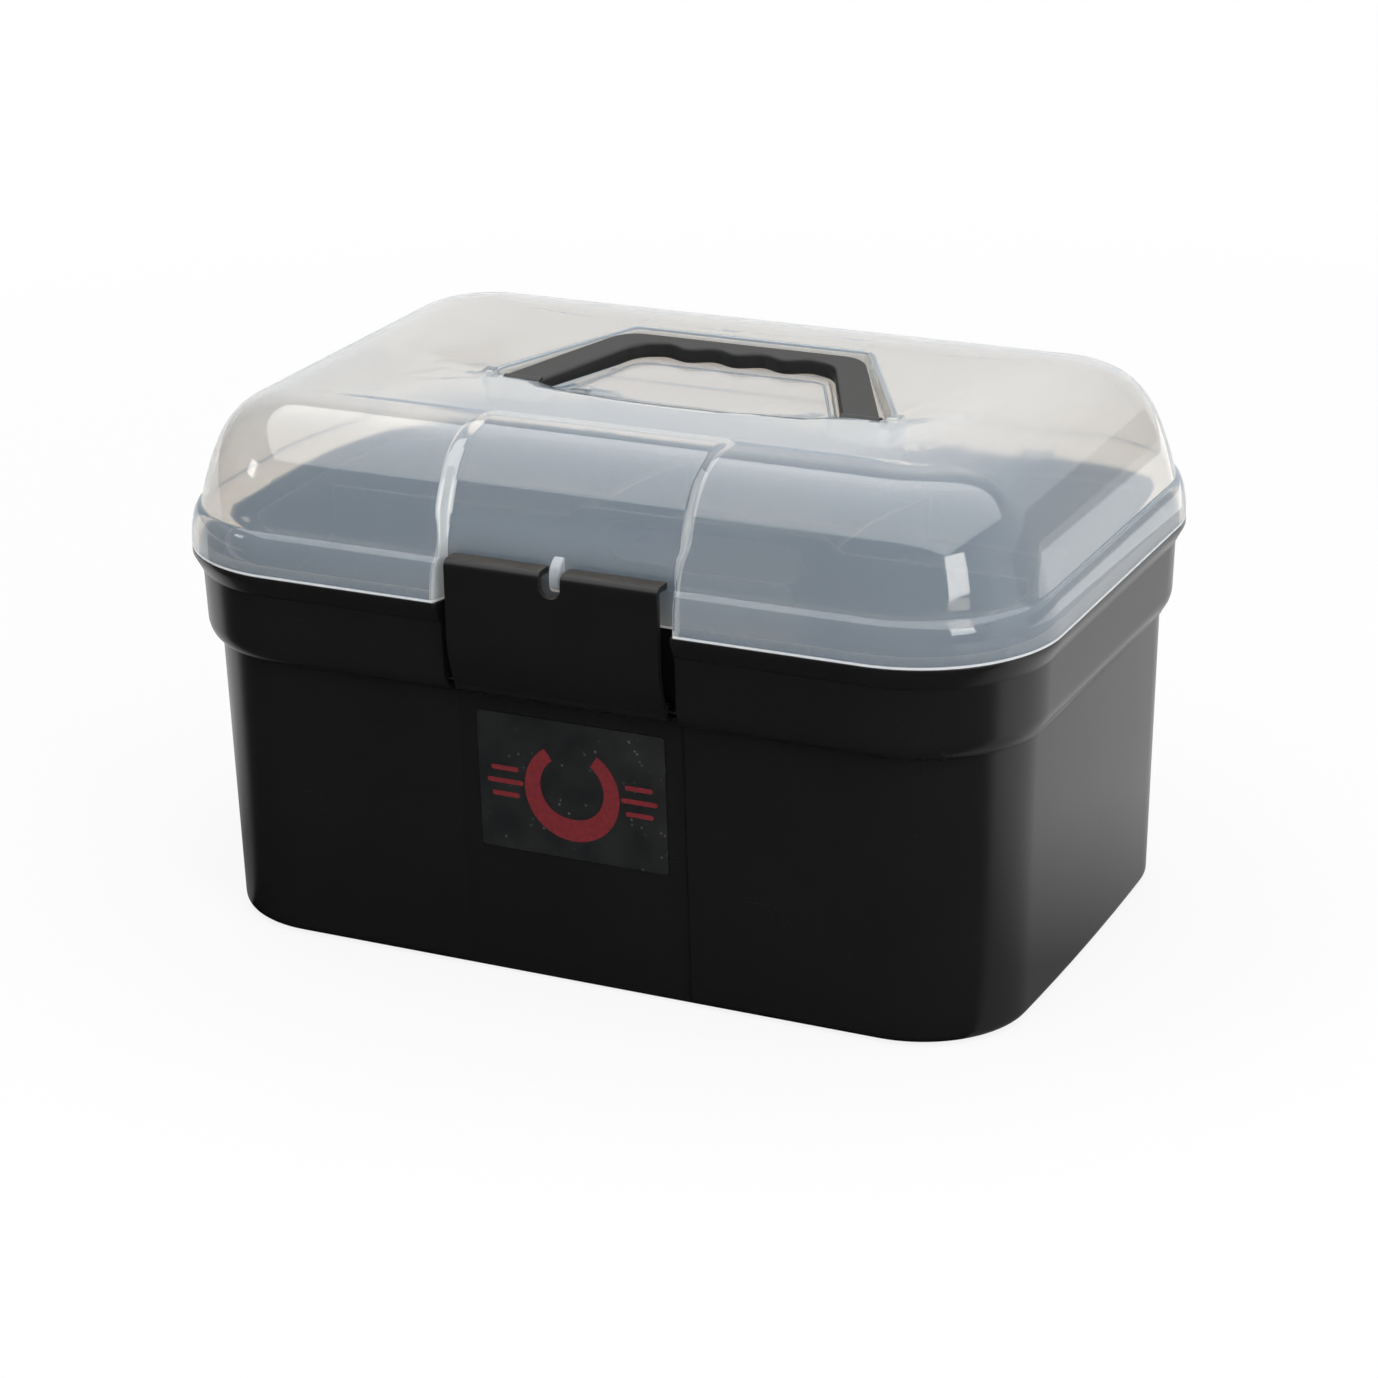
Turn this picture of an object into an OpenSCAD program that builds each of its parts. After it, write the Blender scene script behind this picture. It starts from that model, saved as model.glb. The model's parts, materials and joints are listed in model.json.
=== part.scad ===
// Grooming box: a black moulded tub with a lift-out tray, a milky domed lid hinged at the back,
// a folding carry handle in the lid and a latch hinged on the front of the tub.
// Millimetres. The origin is the middle of the ring that the tub stands on; +Y is the back.

/* [Tub] */
// Length over the rim
box_length = 400; // [340:1:460]
// Depth over the rim, front to back
box_depth = 272; // [240:1:320]
// Height of the rim above the floor
rim_height = 172.5; // [150:0.5:220]
// Corner radius of the rim in plan
corner_radius = 62; // [50:1:75]
// Thickness of the tub's wall and floor
tub_wall = 2.5; // [1.8:0.1:3.2]
// Height of the collar, from its lower edge to the rim
collar_height = 42.5; // [38:0.5:60]
// How far the collar stands out from the body
collar_step = 7.5; // [6.5:0.5:10]
// Height of the rounded lower edge of the collar
collar_round = 10; // [8:0.5:14]
// How far the rim stands out from the collar
rim_flare = 5; // [4.5:0.5:8]
// Width of the sloped corner outside the tray's ledge
ledge_slope = 3; // [2:0.5:5]
// Height of the flared flange under the rim
flange_height = 9; // [6:0.5:14]
// Depth of the crease under the flange
flange_crease = 0.8; // [0.4:0.1:1.2]
// Height of the upright edge of the rim
rim_edge = 2.5; // [1.5:0.5:4]
// Taper of each side of the body, from collar to base
body_taper = 3; // [1:0.5:8]
// Radius of the rounded edge at the base
base_radius = 8; // [6:0.5:14]
// Height of the ring that the tub stands on
foot_height = 1.5; // [1:0.1:3]
// Width of that ring
foot_width = 12; // [8:1:20]
// Height of the lip that locates the lid
lip_height = 4; // [2:0.5:6]
// Width of the recessed band down the front
band_width = 106; // [90:1:130]
// Depth of the band in the body
band_recess = 1.5; // [0.8:0.1:2.5]

/* [Lid] */
// Height of the lid above the rim
lid_height = 67.2; // [60:0.2:90]
// Thickness of the lid's wall
lid_wall = 2.4; // [1.8:0.1:3]
// Gap between the lid's foot and the rim
lid_gap = 0.3; // [0.2:0.1:0.6]
// Play of the lid round the locating lip
lid_play = 0.8; // [0.6:0.1:1.5]
// Height of the skirt
skirt_height = 18.5; // [16:0.5:22]
// How far the dome is set in from the foot of the skirt
skirt_step = 5; // [3:0.5:7]
// How far the dome leans in between skirt and shoulder
dome_lean = 5.5; // [3:0.5:9]
// Height of the shoulder's curve
shoulder_rise = 29.5; // [24:0.5:34]
// Reach of the shoulder's curve
shoulder_reach = 45.5; // [36:0.5:50]
// Depth of the front channel at the shoulder
channel_depth = 6; // [4:0.5:9]
// How far the channel runs on past the end of the shoulder's curve
channel_run = 6; // [2:0.5:10]
// Slope of the channel's sides behind the latch, in width for depth
foot_slope = 0.15; // [0.05:0.05:0.4]
// Slope of the channel's sides at the shoulder, in width for depth
shoulder_slope = 0.75; // [0.3:0.05:1]

/* [Carry handle] */
// Width over the feet of the handle
handle_span = 180; // [150:1:200]
// Width over the grip
grip_span = 114; // [104:1:130]
// Distance from the pivot to the back of the grip
handle_reach = 59; // [52:1:64]
// Thickness of the handle
handle_thick = 7; // [5:0.5:8]
// Width of each foot
foot_span = 23; // [18:1:28]
// Width of each leg where it meets the grip
leg_span = 14; // [11:0.5:18]
// Depth of the grip between its finger waves
grip_depth = 13; // [11:0.5:17]
// Depth of the finger waves
wave_depth = 3; // [1:0.5:4]
// Width of the flat between two finger waves
wave_land = 3; // [1:0.5:6]
// Number of finger waves
finger_waves = 4; // [3:1:5]
// Rounding of the grip's corners
grip_round = 9; // [4:1:12]
// Angle at which the folded handle rises to the back
handle_tilt = 7.5; // [5:0.5:9]
// Height of the grip's top below the lid's top
grip_sink = 1.8; // [1:0.2:4]
// Diameter of the handle's pivot pins
handle_pin_d = 6; // [4:0.2:6.2]
// Length of pin in each foot
handle_pin_hold = 12; // [8:1:16]
// Wall of each foot round its pin
foot_wall = 1; // [0.8:0.1:1.6]
// Gap between each foot and the side of the pocket
foot_gap = 4; // [2:0.5:6]
// Gap round the folded grip
pocket_gap = 7; // [4:0.5:10]
// Gap under the feet
floor_gap = 0.7; // [0.5:0.1:2]
// Space in the pocket behind the folded grip
pocket_space = 17; // [8:1:24]
// How much of the grip lies over the pocket's shelf
shelf_hold = 4; // [2:0.5:8]
// Wall of the bosses round the handle's pins
boss_wall = 3; // [2:0.5:4]
// Length of each boss past the pocket's wall
boss_length = 4; // [3:0.5:6]
// Thickness of each boss's closed end
boss_cap = 1; // [0.8:0.1:2]

/* [Latch] */
// Width of the latch
latch_width = 98; // [80:1:102]
// Height of the latch's top above the rim
latch_rise = 20.5; // [17:0.5:24]
// Thickness of the latch's plate
latch_thick = 2.6; // [2:0.1:3]
// How far the latch stands out past the rim
latch_proud = 0.5; // [0:0.1:2]
// Radius of the barrel along the latch's foot
barrel_radius = 4; // [3.5:0.1:4.5]
// Height of the barrel's middle above the collar's lower edge
barrel_rise = 6; // [5:0.5:8]
// Height over which the plate curves in to the barrel
latch_curve = 24; // [16:1:28]
// Diameter of the latch's rod
rod_d = 3; // [2:0.1:3.4]
// Thickness of the lip that closes on the lid
latch_lip = 3; // [2:0.1:3.6]
// Width of the notch in the lip
notch_width = 10; // [8:0.5:14]
// Depth of the notch
notch_depth = 11; // [8:0.5:13]
// Width of the lid's tooth in the notch
tooth_width = 5; // [4:0.5:6]
// How far the tooth stands out from the channel
tooth_reach = 6; // [4:0.5:8]
// Height of the tooth above the latch
tooth_rise = 3.5; // [2:0.5:5]

/* [Hinges] */
// Distance of each hinge from the middle
hinge_x = 110; // [80:1:125]
// Width of the lid's knuckle
knuckle_width = 16; // [12:1:24]
// Radius of knuckle and ears
knuckle_radius = 4.2; // [3.6:0.1:5]
// Thickness of each ear
ear_width = 5; // [4:0.5:8]
// Diameter of a hinge pin
hinge_pin_d = 4; // [3:0.1:4.4]
// How far each ear's web reaches down the collar
ear_drop = 17; // [10:1:24]
// Height of the arm that joins a knuckle to the skirt
arm_height = 9; // [6:0.5:12]
// Drop of the hinge axis below the rim
hinge_drop = 2; // [1.5:0.1:3]

/* [Tray] */
// Wall of the tray
tray_wall = 2; // [1.6:0.1:2.6]
// Drop of the tray's edge below the rim
tray_drop = 3; // [2:0.5:10]
// Play between the tray and the collar
tray_play = 2.6; // [1:0.1:3]
// Distance of the long divider behind the middle
divider_y = 12; // [0:1:30]
// Distance of each cross divider from the middle
divider_x = 62; // [50:1:90]
// Drop of the dividers below the tray's edge
divider_drop = 6; // [4:0.5:12]
// Width of the hand slot in the long divider
slot_width = 96; // [80:1:110]
// Height of the hand slot
slot_height = 18; // [14:0.5:20]

/* [Label] */
// Width of the label
label_width = 88; // [60:1:96]
// Height of the label
label_height = 62.5; // [40:0.5:80]
// Thickness of the label
label_thick = 0.4; // [0.2:0.1:1]
// Height of the label's middle above the floor
label_z = 91; // [70:1:95]

/* [Clearances] */
// Radial running clearance of a pin
pin_play = 0.06; // [0.03:0.01:0.1]
// Gap between parts that pass each other
pass_gap = 0.5; // [0.4:0.1:1]
// Gap between a loose part and its seat
seat_gap = 0.3; // [0.2:0.1:0.5]
// Space left round a label's edge and under it
label_gap = 0.05; // [0.02:0.01:0.1]

/* [Hidden] */

$fn = 64;
corner_steps = 8;
arc_steps = 6;
overcut = 10;
least_radius = 4;

half_length = box_length / 2;
half_depth = box_depth / 2;
black_plastic = [0.05, 0.05, 0.055];
milky_plastic = [0.86, 0.87, 0.87, 0.6];
bright_steel = [0.7, 0.7, 0.72];
label_grey = [0.16, 0.16, 0.17];

// Heights and insets of the tub, each inset measured in from the rim's outline
collar_z = rim_height - collar_height;
flange_z = rim_height - flange_height;
body_inset = rim_flare + collar_step;
base_inset = body_inset + body_taper;
ledge_z = collar_z + tub_wall;
ledge_inset = body_inset + tub_wall;
collar_inner = rim_flare + tub_wall;
ledge_corner = collar_inner + ledge_slope;
lip_inset = lid_wall + lid_play;
band_half = band_width / 2;
taper_rate = body_taper / (collar_z - foot_height - base_radius);

// Heights and insets of the lid
lid_z = rim_height + lid_gap;
top_z = lid_z + lid_height;
skirt_z = lid_z + skirt_height;
shoulder_z = top_z - shoulder_rise;
shoulder_inset = skirt_step + dome_lean;

// Front of the band at a height, and the face of the lid's channel behind the latch
function band_y(z) = -half_depth + body_inset + band_recess - taper_rate * (z - collar_z);
channel_y = band_y(rim_height) - lid_play - lid_wall;

// The latch, its barrel and its rod
barrel_z = collar_z + barrel_rise;
barrel_y = band_y(barrel_z) - barrel_radius - pass_gap;
latch_z = rim_height + latch_rise;
latch_y = -half_depth - latch_proud;
notch_z = latch_z - notch_depth;
rod_end = band_half + tub_wall - seat_gap;

// The hinge axis at the back
hinge_y = half_depth + knuckle_radius + pass_gap;
hinge_z = rim_height - hinge_drop;
hinge_pin_half = knuckle_width / 2 + pass_gap + ear_width;

// The handle's pivot and the pocket that it folds into
pivot_z = top_z - grip_sink - handle_thick / 2 * cos(handle_tilt) - handle_reach * sin(handle_tilt);
foot_radius = max(handle_thick / 2 + pass_gap, handle_pin_d / 2 + foot_wall);
pocket_floor = pivot_z - foot_radius - floor_gap;
pocket_half = handle_span / 2 + foot_gap;
pocket_front = -handle_thick / 2 - pocket_gap;
pocket_back = handle_reach + pocket_space;
shelf_y = handle_reach - shelf_hold;
shelf_z = pivot_z - handle_thick / 2 * cos(handle_tilt) + shelf_y * tan(handle_tilt) - seat_gap;
boss_radius = handle_pin_d / 2 + boss_wall;
boss_end = pocket_half + lid_wall + boss_length;
handle_pin_end = boss_end - boss_cap - pass_gap;

// The tray
tray_z = ledge_z + seat_gap;
tray_top = rim_height - tray_drop;
tray_inset = lip_inset + tub_wall + tray_play;
tray_foot_inset = ledge_corner + seat_gap;
tray_setback = band_y(tray_top) + tub_wall + tray_play + half_depth - tray_inset;
divider_z = tray_top - divider_drop;

// A closed plan outline, set in from the rim, with one arc of points at each corner; its front may
// be set back further
function outline(inset, setback = 0) = [
    for (q = [0 : 3], k = [0 : corner_steps])
        let (
            a = 90 * (q + k / corner_steps),
            r = max(corner_radius - inset, least_radius),
            sx = q == 0 || q == 3 ? 1 : -1,
            sy = q < 2 ? 1 : -1
        )
        [
            sx * (half_length - inset - r) + r * cos(a),
            sy * (half_depth - inset - r) + r * sin(a) + (sy < 0 ? setback : 0)
        ]
];

// Points of an elliptical quarter curve between two [inset, z] corners, from angle a0 to a1
function arc(centre, rx, rz, a0, a1) = [
    for (k = [0 : arc_steps])
        let (a = a0 + (a1 - a0) * k / arc_steps)
        [centre[0] + rx * cos(a), centre[1] + rz * sin(a)]
];

// A solid through stacked outlines; each level is [inset, z], from the bottom up
module loft(levels, setback = 0) {
    n = 4 * (corner_steps + 1);
    m = len(levels);
    points = [for (l = levels, p = outline(l[0], setback)) [p[0], p[1], l[1]]];
    sides = [
        for (j = [0 : m - 2], i = [0 : n - 1])
            let (a = j * n + i, b = j * n + (i + 1) % n)
            [a, a + n, b + n, b]
    ];
    polyhedron(points, concat([[for (i = [0 : n - 1]) i]], sides,
        [[for (i = [n - 1 : -1 : 0]) (m - 1) * n + i]]));
}

// A [y, z] outline drawn out along X over a half width on each side of the middle
module along_x(half_width) {
    translate([-half_width, 0, 0])
        rotate([90, 0, 90])
            linear_extrude(2 * half_width) children();
}

// A round bar along X between two places
module bar(x0, x1, y, z, r) {
    translate([x0, y, z])
        rotate([0, 90, 0])
            cylinder(r = r, h = x1 - x0);
}

// Copies a shape to the other side of the middle
module both_sides() {
    children();
    mirror([1, 0, 0]) children();
}

// What the recessed band takes off the front, grown inwards by a wall
module band_cut(grow) {
    top = top_z + overcut;
    along_x(band_half + grow)
        polygon([
            [band_y(-overcut) + grow, -overcut],
            [band_y(top) + grow, top],
            [-half_depth - overcut, top],
            [-half_depth - overcut, -overcut]
        ]);
}

// The outside of the tub from its base to the locating lip
tub_levels = concat(
    arc([base_inset + base_radius, foot_height + base_radius], base_radius, base_radius, 270, 180),
    arc([body_inset, collar_z + collar_round], collar_step, collar_round, 270, 180),
    [[rim_flare - flange_crease, flange_z - flange_crease], [rim_flare - 2 * flange_crease, flange_z]],
    [[0, rim_height - rim_edge], [0, rim_height], [lip_inset, rim_height]],
    [[lip_inset, rim_height + lip_height]]
);

// The inside of the tub, with the ledge that carries the tray
tub_hollow = concat(
    arc([base_inset + base_radius, foot_height + base_radius], base_radius - tub_wall,
        base_radius - tub_wall, 270, 180),
    [[ledge_inset, ledge_z], [ledge_corner, ledge_z], [collar_inner, collar_z + collar_round]],
    [[lip_inset + tub_wall, rim_height], [lip_inset + tub_wall, rim_height + lip_height + overcut]]
);

module hinge_ear() {
    web_y = half_depth - rim_flare;
    along_x(ear_width / 2)
        polygon([
            [web_y, hinge_z - ear_drop],
            [hinge_y, hinge_z - knuckle_radius],
            [hinge_y, rim_height - lid_gap],
            [web_y, rim_height - lid_gap]
        ]);
    bar(-ear_width / 2, ear_width / 2, hinge_y, hinge_z, knuckle_radius);
}

module tub() {
    ear_x = knuckle_width / 2 + pass_gap + ear_width / 2;
    lip_half = band_half + lid_wall + foot_slope * (half_depth + channel_y) + lid_play;
    color(black_plastic)
        difference() {
            union() {
                difference() {
                    loft(tub_levels);
                    band_cut(0);
                    difference() {
                        loft(tub_hollow);
                        band_cut(tub_wall);
                    }
                    translate([-lip_half, -half_depth - overcut, rim_height])
                        cube([2 * lip_half, overcut + ledge_inset + body_inset, 2 * lip_height]);
                }
                linear_extrude(foot_height + tub_wall / 2)
                    difference() {
                        polygon(outline(base_inset + base_radius));
                        polygon(outline(base_inset + base_radius + foot_width));
                    }
                both_sides()
                    for (s = [-1, 1])
                        translate([hinge_x + s * ear_x, 0, 0]) hinge_ear();
            }
            both_sides()
                bar(hinge_x - 2 * ear_x, hinge_x + 2 * ear_x, hinge_y, hinge_z, hinge_pin_d / 2);
            bar(-rod_end, rod_end, barrel_y, barrel_z, rod_d / 2);
        }
}

module front_label() {
    lean = atan(taper_rate);
    color(label_grey)
        translate([0, band_y(label_z), label_z])
            rotate([lean, 0, 0])
                translate([-label_width / 2, -label_thick - label_gap, -label_height / 2])
                    cube([label_width, label_thick, label_height]);
}

// The tray's outside, behind the tub's front band, grown smaller by a wall on every side and the floor
module tray_form(wall) {
    loft([
        [tray_foot_inset + wall, tray_z + wall],
        [tray_inset + wall, tray_top + (wall > 0 ? overcut : 0)]
    ], tray_setback);
}

// The upright dividers of the tray before they are trimmed to its walls
module tray_dividers() {
    height = divider_z - tray_z;
    translate([-half_length, divider_y - tray_wall / 2, tray_z]) cube([box_length, tray_wall, height]);
    translate([-slot_width / 2 - slot_height, divider_y - tray_wall / 2, tray_z])
        cube([slot_width + 2 * slot_height, tray_wall, tray_top - tray_z]);
    both_sides()
        translate([divider_x - tray_wall / 2, divider_y, tray_z]) cube([tray_wall, half_depth, height]);
}

// The hand slot through the long divider
module hand_slot() {
    run = slot_width - slot_height;
    slot_z = tray_top - divider_drop - slot_height / 2;
    translate([-run / 2, divider_y - tray_wall, slot_z - slot_height / 2])
        cube([run, 2 * tray_wall, slot_height]);
    for (s = [-1, 1])
        translate([s * run / 2, divider_y, slot_z])
            rotate([90, 0, 0])
                cylinder(d = slot_height, h = 2 * tray_wall, center = true);
}

module lift_out_tray() {
    color(black_plastic)
        difference() {
            union() {
                difference() {
                    tray_form(0);
                    tray_form(tray_wall);
                }
                intersection() {
                    tray_form(0);
                    tray_dividers();
                }
            }
            hand_slot();
        }
}

// The lid's outside and inside as stacked outlines
lid_levels = concat(
    arc([skirt_step, lid_z], skirt_step, skirt_height, 180, 90),
    arc([shoulder_inset + shoulder_reach, shoulder_z], shoulder_reach, shoulder_rise, 180, 90)
);
lid_hollow = concat(
    [[lid_wall, lid_z - overcut]],
    [for (p = arc([skirt_step, lid_z], skirt_step, skirt_height, 180, 90)) [p[0] + lid_wall, p[1]]],
    arc([shoulder_inset + shoulder_reach, shoulder_z], shoulder_reach - lid_wall,
        shoulder_rise - lid_wall, 180, 90)
);

// The floor of the front channel as [y, z, outward y, outward z, slope of the sides], from the foot
// to just past the top
function channel_floor() =
    let (
        rx = shoulder_reach - channel_depth + channel_run,
        rz = shoulder_rise + pass_gap,
        y0 = -half_depth + shoulder_inset + channel_depth
    )
    concat(
        [
            [channel_y, lid_z - overcut, -1, 0, foot_slope],
            [channel_y, latch_z + tooth_rise, -1, 0, foot_slope]
        ],
        [
            for (k = [0 : 2 * arc_steps])
                let (a = 90 * k / (2 * arc_steps), l = norm([cos(a) / rx, sin(a) / rz]))
                [
                    y0 + rx * (1 - cos(a)), shoulder_z + rz * sin(a),
                    -cos(a) / rx / l, sin(a) / rz / l, shoulder_slope
                ]
        ]
    );

// What the front channel takes off the lid, grown inwards by a wall
module channel_cut(grow) {
    floor_points = channel_floor();
    m = len(floor_points);
    reach = skirt_step + dome_lean + channel_depth;
    near = band_half + grow;
    points = [
        for (p = floor_points)
            let (
                y0 = p[0] - grow * p[2],
                z0 = p[1] - grow * p[3],
                y1 = p[0] + reach * p[2],
                z1 = p[1] + reach * p[3],
                far = near + reach * p[4]
            )
            each [[-near, y0, z0], [near, y0, z0], [far, y1, z1], [-far, y1, z1]]
    ];
    sides = [
        for (j = [0 : m - 2], i = [0 : 3])
            let (a = 4 * j + i, b = 4 * j + (i + 1) % 4)
            each [[a, b, a + 4], [b, b + 4, a + 4]]
    ];
    last = 4 * (m - 1);
    polyhedron(points, concat([[3, 2, 1, 0]], sides, [[last, last + 1, last + 2, last + 3]]));
}

// The pocket's outline in plan
module pocket_outline(grow) {
    back_half = grip_span / 2 + pocket_gap / 2;
    offset(r = least_radius + grow)
        offset(delta = -least_radius)
            polygon([
                [-pocket_half, pocket_front], [pocket_half, pocket_front], [pocket_half, least_radius],
                [back_half, pocket_back], [-back_half, pocket_back], [-pocket_half, least_radius]
            ]);
}

// What the handle's pocket takes off the lid: a deep front and a shelf that carries the grip
module pocket_cut(grow) {
    translate([0, 0, shelf_z - grow])
        linear_extrude(top_z) pocket_outline(grow);
    translate([0, 0, pocket_floor - grow])
        linear_extrude(top_z)
            intersection() {
                pocket_outline(grow);
                translate([-half_length, -half_depth]) square([box_length, half_depth + shelf_y + grow]);
            }
}

module hinge_knuckle() {
    root_y = half_depth - lid_wall / 2;
    along_x(knuckle_width / 2)
        polygon([
            [root_y, lid_z], [root_y, lid_z + arm_height], [hinge_y, hinge_z + knuckle_radius],
            [hinge_y, lid_z]
        ]);
    bar(-knuckle_width / 2, knuckle_width / 2, hinge_y, hinge_z, knuckle_radius);
}

// The tooth that stands in the latch's notch
module tooth() {
    foot_z = notch_z + pass_gap;
    head_z = latch_z + tooth_rise;
    along_x(tooth_width / 2)
        polygon([
            [channel_y + lid_wall / 2, foot_z], [channel_y + lid_wall / 2, head_z],
            [channel_y - tooth_reach / 2, head_z], [channel_y - tooth_reach, head_z - tooth_reach / 2],
            [channel_y - tooth_reach, foot_z + tooth_reach / 2], [channel_y - tooth_reach / 2, foot_z]
        ]);
}

module lid() {
    bore = handle_pin_d / 2 + pin_play;
    color(milky_plastic)
        difference() {
            union() {
                difference() {
                    loft(lid_levels);
                    channel_cut(0);
                    pocket_cut(0);
                    difference() {
                        loft(lid_hollow);
                        channel_cut(lid_wall);
                        pocket_cut(lid_wall);
                    }
                }
                tooth();
                both_sides() translate([hinge_x, 0, 0]) hinge_knuckle();
                both_sides() bar(pocket_half + lid_wall / 2, boss_end, 0, pivot_z, boss_radius);
            }
            both_sides() bar(pocket_half - least_radius, boss_end - boss_cap, 0, pivot_z, bore);
            both_sides()
                bar(hinge_x - knuckle_width, hinge_x + knuckle_width, hinge_y, hinge_z,
                    hinge_pin_d / 2 + pin_play);
        }
}

module hinge_pin(side) {
    color(bright_steel)
        bar(side * hinge_x - hinge_pin_half, side * hinge_x + hinge_pin_half, hinge_y, hinge_z,
            hinge_pin_d / 2);
}

// The plate's outline in [y, z]: a parabola from the barrel up to the upright part, then the lip
module latch_outline() {
    foot_y = barrel_y - barrel_radius;
    lip_y = channel_y - pass_gap;
    sweep = [
        for (k = [0 : 2 * arc_steps])
            let (t = k / (2 * arc_steps))
            [latch_y + (foot_y - latch_y) * pow(1 - t, 2), barrel_z + latch_curve * t]
    ];
    polygon(concat(
        sweep,
        arc([latch_y + latch_thick, latch_z - latch_thick], latch_thick, latch_thick, 180, 90),
        [[lip_y, latch_z], [lip_y, latch_z - latch_lip], [latch_y + 2 * latch_thick, latch_z - latch_lip]],
        [[latch_y + latch_thick, latch_z - latch_lip - latch_thick]],
        [for (k = [len(sweep) - 1 : -1 : 0]) [sweep[k][0] + latch_thick, sweep[k][1]]]
    ));
}

module front_latch() {
    half = latch_width / 2;
    color(black_plastic)
        difference() {
            union() {
                along_x(half) latch_outline();
                bar(-half, half, barrel_y, barrel_z, barrel_radius);
            }
            bar(-band_half, band_half, barrel_y, barrel_z, rod_d / 2 + pin_play);
            along_x(notch_width / 2)
                translate([latch_y - overcut, notch_z + notch_width / 2])
                    square([2 * overcut + half_depth, notch_depth]);
            translate([0, latch_y - overcut, notch_z + notch_width / 2])
                rotate([-90, 0, 0])
                    cylinder(d = notch_width, h = 2 * overcut + half_depth);
        }
}

module latch_rod() {
    color(bright_steel)
        bar(-rod_end, rod_end, barrel_y, barrel_z, rod_d / 2);
}

// The handle's outline in its own plane, with the pivot axis along X through the origin
module handle_outline() {
    foot = handle_span / 2;
    grip = grip_span / 2;
    offset(r = grip_round)
        offset(delta = -grip_round)
            polygon([
                [-foot, 0], [-foot, -grip_round * 2], [foot, -grip_round * 2], [foot, 0],
                [grip, handle_reach], [-grip, handle_reach]
            ]);
}

// What is open inside the handle: the hand gap with its finger waves
module hand_gap() {
    inner = grip_span / 2 - leg_span;
    inner_y = handle_reach - grip_depth - wave_depth;
    wave = 2 * inner / finger_waves;
    wave_half = (wave - wave_land) / 2;
    wave_radius = (pow(wave_half, 2) + pow(wave_depth, 2)) / (2 * wave_depth);
    foot = handle_span / 2 - foot_span;
    polygon([[-foot, 0], [-foot, -handle_reach], [foot, -handle_reach], [foot, 0],
        [inner, inner_y], [-inner, inner_y]]);
    intersection() {
        translate([-inner, 0]) square([2 * inner, handle_reach]);
        for (k = [0 : finger_waves - 1])
            translate([-inner + wave * (k + 0.5), inner_y + wave_depth - wave_radius])
                circle(r = wave_radius);
    }
}

module carry_handle() {
    foot_in = handle_span / 2 - foot_span;
    color(black_plastic)
        translate([0, 0, pivot_z])
            rotate([handle_tilt, 0, 0])
                difference() {
                    union() {
                        translate([0, 0, -handle_thick / 2])
                            linear_extrude(handle_thick)
                                difference() {
                                    handle_outline();
                                    hand_gap();
                                    translate([-handle_span, -handle_reach])
                                        square([2 * handle_span, handle_reach]);
                                }
                        both_sides()
                            bar(foot_in, handle_span / 2, 0, 0, foot_radius);
                    }
                    both_sides()
                        bar(handle_span / 2 - handle_pin_hold, handle_span, 0, 0, handle_pin_d / 2);
                }
}

module handle_pin(side) {
    x0 = handle_span / 2 - handle_pin_hold;
    color(bright_steel)
        mirror([side < 0 ? 1 : 0, 0, 0])
            bar(x0, handle_pin_end, 0, pivot_z, handle_pin_d / 2);
}

tub();
front_label();
lift_out_tray();
lid();
hinge_pin(-1);  // hinge_pin_left
hinge_pin(1);  // hinge_pin_right
front_latch();
latch_rod();
carry_handle();
handle_pin(-1);  // handle_pin_left
handle_pin(1);  // handle_pin_right
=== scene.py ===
import json
import math

import bmesh
import bpy
from mathutils import Matrix, Vector


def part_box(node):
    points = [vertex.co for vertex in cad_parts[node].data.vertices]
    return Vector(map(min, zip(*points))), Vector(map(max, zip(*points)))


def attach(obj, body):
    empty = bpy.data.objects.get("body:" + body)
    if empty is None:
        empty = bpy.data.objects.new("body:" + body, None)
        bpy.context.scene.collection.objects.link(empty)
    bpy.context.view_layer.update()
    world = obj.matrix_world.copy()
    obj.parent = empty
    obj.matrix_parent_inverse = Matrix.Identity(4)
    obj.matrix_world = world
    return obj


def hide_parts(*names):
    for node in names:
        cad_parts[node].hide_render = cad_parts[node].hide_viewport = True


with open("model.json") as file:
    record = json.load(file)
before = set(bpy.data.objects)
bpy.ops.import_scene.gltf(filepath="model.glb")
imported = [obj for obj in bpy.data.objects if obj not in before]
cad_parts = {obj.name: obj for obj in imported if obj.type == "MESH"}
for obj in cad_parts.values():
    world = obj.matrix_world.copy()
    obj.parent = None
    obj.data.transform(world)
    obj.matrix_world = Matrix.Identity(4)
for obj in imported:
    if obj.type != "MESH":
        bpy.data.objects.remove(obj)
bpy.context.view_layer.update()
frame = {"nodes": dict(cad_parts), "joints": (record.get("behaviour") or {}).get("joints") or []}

nodes = frame["nodes"]
pivots = {joint["name"]: Vector(joint["pos_m"]) for joint in frame["joints"] if "pos_m" in joint}

# Sizes of the tub, in metres; an inset is measured in from the rim's outline
tub_low, tub_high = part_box("tub")
HALF_LENGTH = tub_high.x
FRONT = tub_low.y
BACK = -FRONT
CORNER_RADIUS = 0.062
CORNER_STEPS = 20
LIP_HEIGHT = 0.004
LIP_INSET = 0.0032
LIP_HALF = 0.0577
RIM_Z = tub_high.z - LIP_HEIGHT
RIM_EDGE = 0.0025
RIM_ROUND = 0.0005
RIM_FLARE = 0.005
FLANGE_Z = RIM_Z - 0.009
FLANGE_CREASE = 0.0008
TUB_WALL = 0.0025
COLLAR_Z = 0.130
COLLAR_ROUND = 0.010
COLLAR_STEP = 0.0075
BODY_INSET = RIM_FLARE + COLLAR_STEP
BODY_TAPER = 0.003
BASE_INSET = BODY_INSET + BODY_TAPER
BASE_RADIUS = 0.008
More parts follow.
